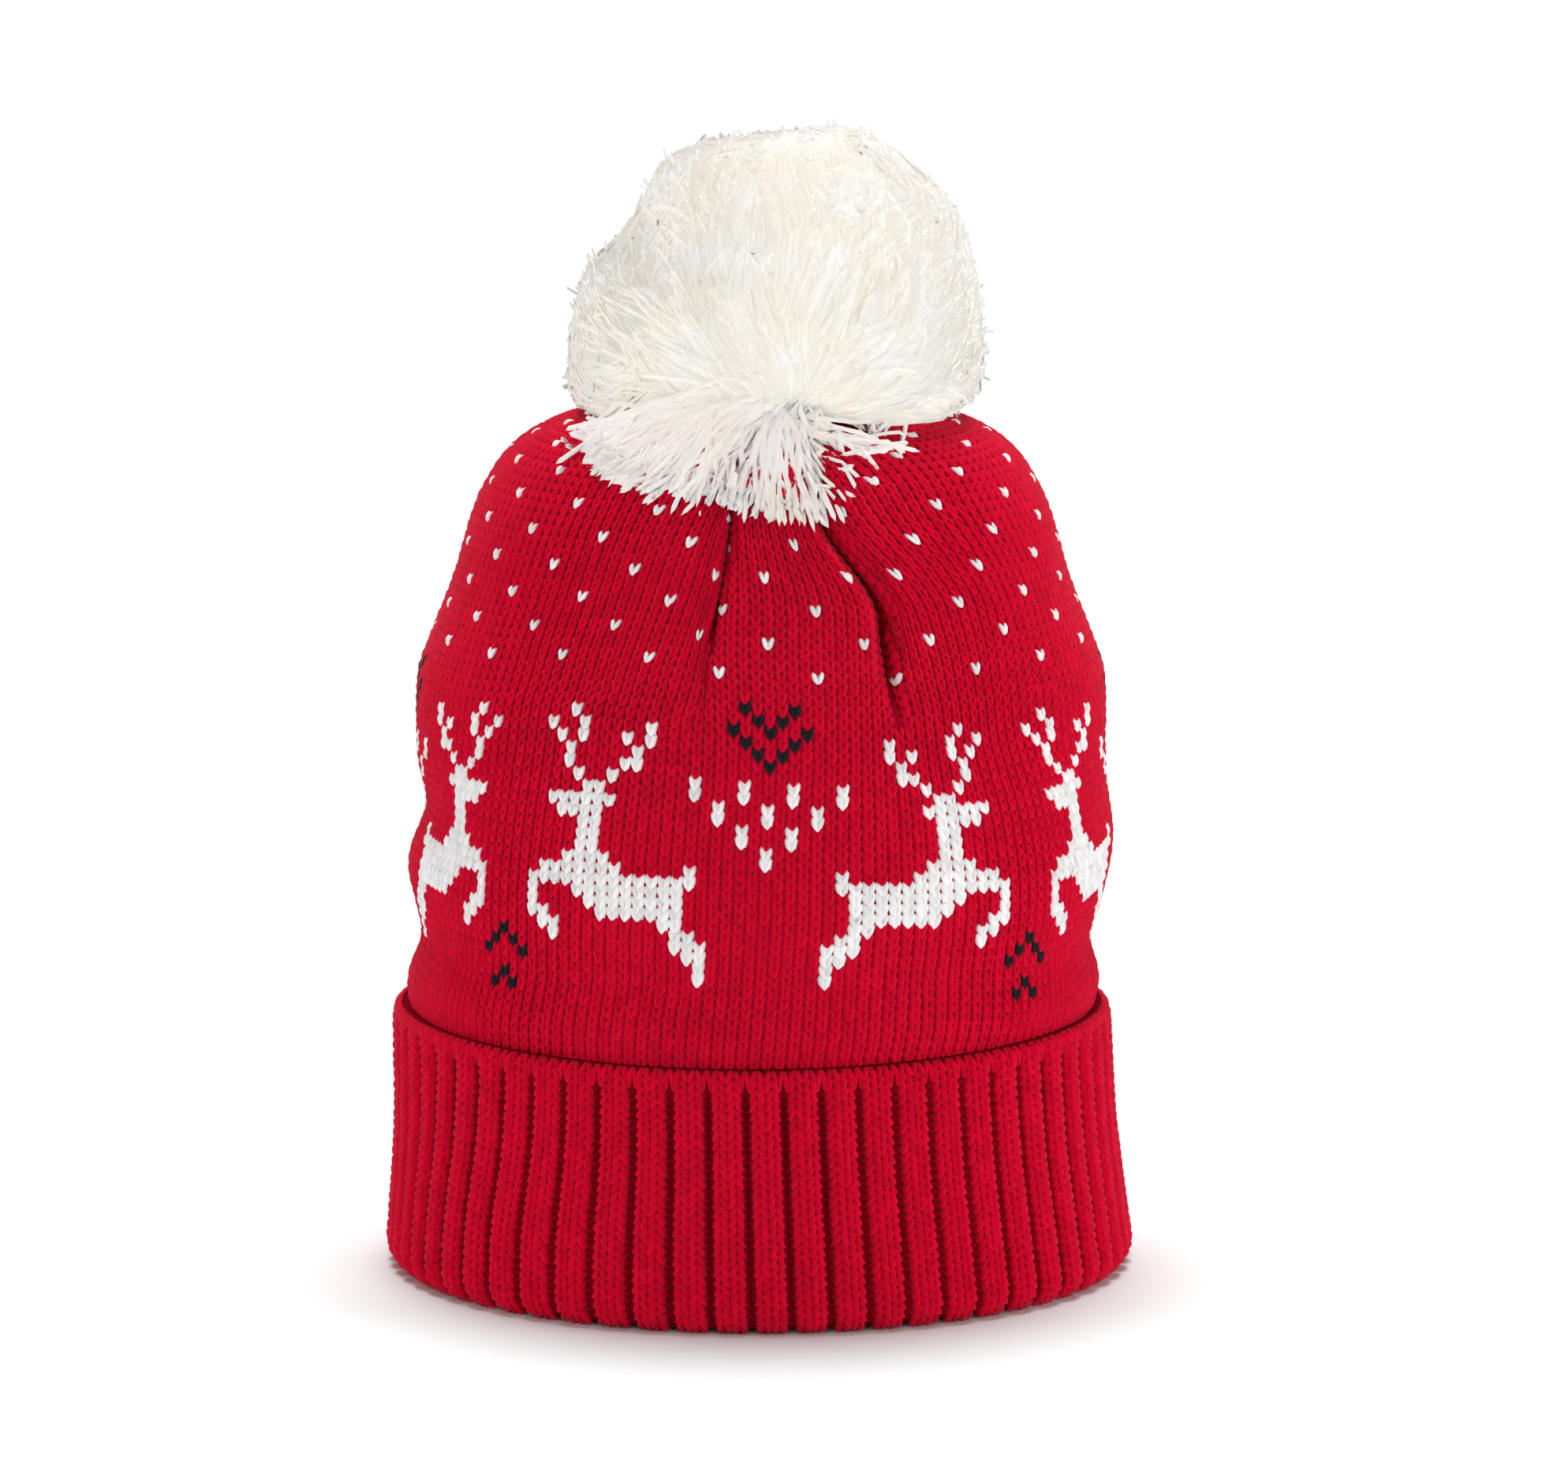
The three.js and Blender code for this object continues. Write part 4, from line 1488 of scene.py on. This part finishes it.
    def strands(self, name, kind, spine, radius, tone, material, end_middle=POMPOM_MIDDLE, dense=False):
        """A piece of strands of one kind, each with its own tone, lit at their ends about end_middle."""
        points, faces, along, turn = strand_spindles(spine, radius, kind["sides"])
        # The shade is darker towards the root, as painted shade among the strands, and differs from strand to
        # strand by its tone
        shade = kind["root"] + kind["rise"] * along + np.repeat(tone, len(along) // len(spine))
        fibre = np.column_stack([turn, along * kind["twists"]])
        middle = POMPOM_MIDDLE + (end_middle - POMPOM_MIDDLE) * smooth(along, *MIDDLE_BLEND)[:, None]
        look = (material, np.clip(shade, 0, 1), fibre, middle)
        return self.piece(name, points, faces, *look, kind["softness"], dense)

    def piece(self, name, points, faces, material, shade, fibre, middle, softness, dense):
        """A piece of fluffy yarn, lit as a mass about its middle.

        Loose white fibre lets light through, so only dense pieces cast a shadow.
        """
        upward = LIT_FRONT + (LIT_BACK - LIT_FRONT) * smooth(points[:, 1], *LIT_BLEND)
        kept = np.column_stack([np.full(len(points), LIT_WIDTH), np.ones(len(points)), upward])
        outward = unit((points - middle) * kept)
        piece = make_piece(name, points, faces, material, shade, fibre, outward, softness)
        piece.visible_shadow = dense
        return piece


class HAT_OT_tie(Operator):
    """Winds the yarn knot that holds the pompom through the gathered hole"""

    bl_idname = "hat.tie"
    bl_label = "Wind the tie"

    def execute(self, context):
        settings = context.scene.bobble_hat.pompom
        curve = smooth_curve(TIE_PROFILE)
        around = np.arange(TIE_COLUMNS)[None] * 360 / TIE_COLUMNS
        travel = np.linspace(0, curve["travel"][-1], TIE_ROWS)[:, None]
        radius, height = read(curve, travel, "radius", "height")
        wound = 1 + TIE_RELIEF * np.sin(np.radians(around) * TIE_STRANDS + travel * TIE_WIND)
        points, faces = capped_rings(place(around, radius * wound, height, TIE_SHIFT))
        material = pompom_material("tie_yarn", tuple(settings.tip), tuple(settings.root))
        shade = np.full(len(points), TIE_SHADE)
        piece = make_piece("tie_knot", points, faces, material, shade, points[:, :2])
        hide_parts("pompom_tie")
        return {"FINISHED"}


class HAT_OT_stage(Operator):
    """Sets the pale floor, the soft light and the camera"""

    bl_idname = "hat.stage"
    bl_label = "Set the stage"

    def execute(self, context):
        stage = context.scene.bobble_hat.stage
        self.floor(stage)
        self.lights(context, stage)
        self.camera(context, stage)
        context.scene.view_settings.view_transform = "Standard"
        return {"FINISHED"}

    def floor(self, stage):
        """A pale disc: a fan of triangles about its middle."""
        i = np.arange(FLOOR_SIDES)
        turn = 2 * np.pi * i / FLOOR_SIDES
        rim = np.column_stack([np.cos(turn), np.sin(turn), np.zeros(FLOOR_SIDES)]) * stage.floor_radius
        faces = np.column_stack([np.zeros(FLOOR_SIDES, int), 1 + i, 1 + (i + 1) % FLOOR_SIDES])
        mesh = bpy.data.meshes.new("floor")
        mesh.from_pydata([(0, 0, 0), *rim.tolist()], [], faces.tolist())
        paper = {"Base Color": (*stage.floor, 1), "Roughness": 0.9, "Specular IOR Level": 0.0}
        material = Finish("floor_paper").done(paper)
        mesh.materials.append(material)
        floor = bpy.data.objects.new("floor", mesh)
        bpy.context.scene.collection.objects.link(floor)

    def lights(self, context, stage):
        """Even light from all round, and wide soft lamps above, a little behind, and at both front sides."""
        world = bpy.data.worlds.new("studio")
        world.use_nodes = True
        background = world.node_tree.nodes["Background"]
        background.inputs["Color"].default_value = (1, 1, 1, 1)
        background.inputs["Strength"].default_value = stage.sky
        context.scene.world = world
        for name, setting, share, spread, around, above in LAMPS:
            self.soft_light(name, getattr(stage, setting) * share, spread, around, above)

    def soft_light(self, name, strength, spread, around, above):
        """A far light of a wide angle, from a direction around the hat and an angle above the floor."""
        light = bpy.data.lights.new(name, "SUN")
        light.energy = strength
        light.angle = math.radians(spread)
        lamp = bpy.data.objects.new(name, light)
        lamp.rotation_euler = (math.radians(90 - above), 0, math.radians(around))
        bpy.context.scene.collection.objects.link(lamp)

    def camera(self, context, stage):
        """The camera at the photograph's angle."""
        data = bpy.data.cameras.new("camera")
        data.lens = stage.lens
        data.sensor_fit = "HORIZONTAL"
        data.clip_end = CAMERA_REACH
        camera = bpy.data.objects.new("camera", data)
        camera.location = (stage.camera_side, -stage.camera_back, stage.camera_height)
        camera.rotation_euler = (math.pi / 2 - stage.camera_pitch, 0, 0)
        bpy.context.scene.collection.objects.link(camera)
        context.scene.camera = camera


class HAT_PT_panel(Panel):
    """Lists the hat's pieces and its settings"""

    bl_idname = "HAT_PT_panel"
    bl_label = "Bobble hat"
    bl_space_type = "VIEW_3D"
    bl_region_type = "UI"
    bl_category = "Bobble hat"

    def draw(self, context):
        for operator in OPERATORS:
            self.layout.operator(operator.bl_idname)
        for group in ("knit", "pompom", "stage"):
            settings = getattr(context.scene.bobble_hat, group)
            for name in settings.__annotations__:
                self.layout.prop(settings, name)


OPERATORS = (HAT_OT_cuff, HAT_OT_crown, HAT_OT_tie, HAT_OT_pompom, HAT_OT_stage)
CLASSES = (KnitSettings, PompomSettings, StageSettings, HatSettings, *OPERATORS, HAT_PT_panel)


def register():
    for cls in CLASSES:
        bpy.utils.register_class(cls)
    bpy.types.Scene.bobble_hat = PointerProperty(type=HatSettings)


def unregister():
    del bpy.types.Scene.bobble_hat
    for cls in reversed(CLASSES):
        bpy.utils.unregister_class(cls)


def main():
    register()
    bpy.ops.hat.cuff()
    bpy.ops.hat.crown()
    bpy.ops.hat.tie()
    bpy.ops.hat.pompom()
    bpy.ops.hat.stage()


if __name__ == "__main__":
    main()
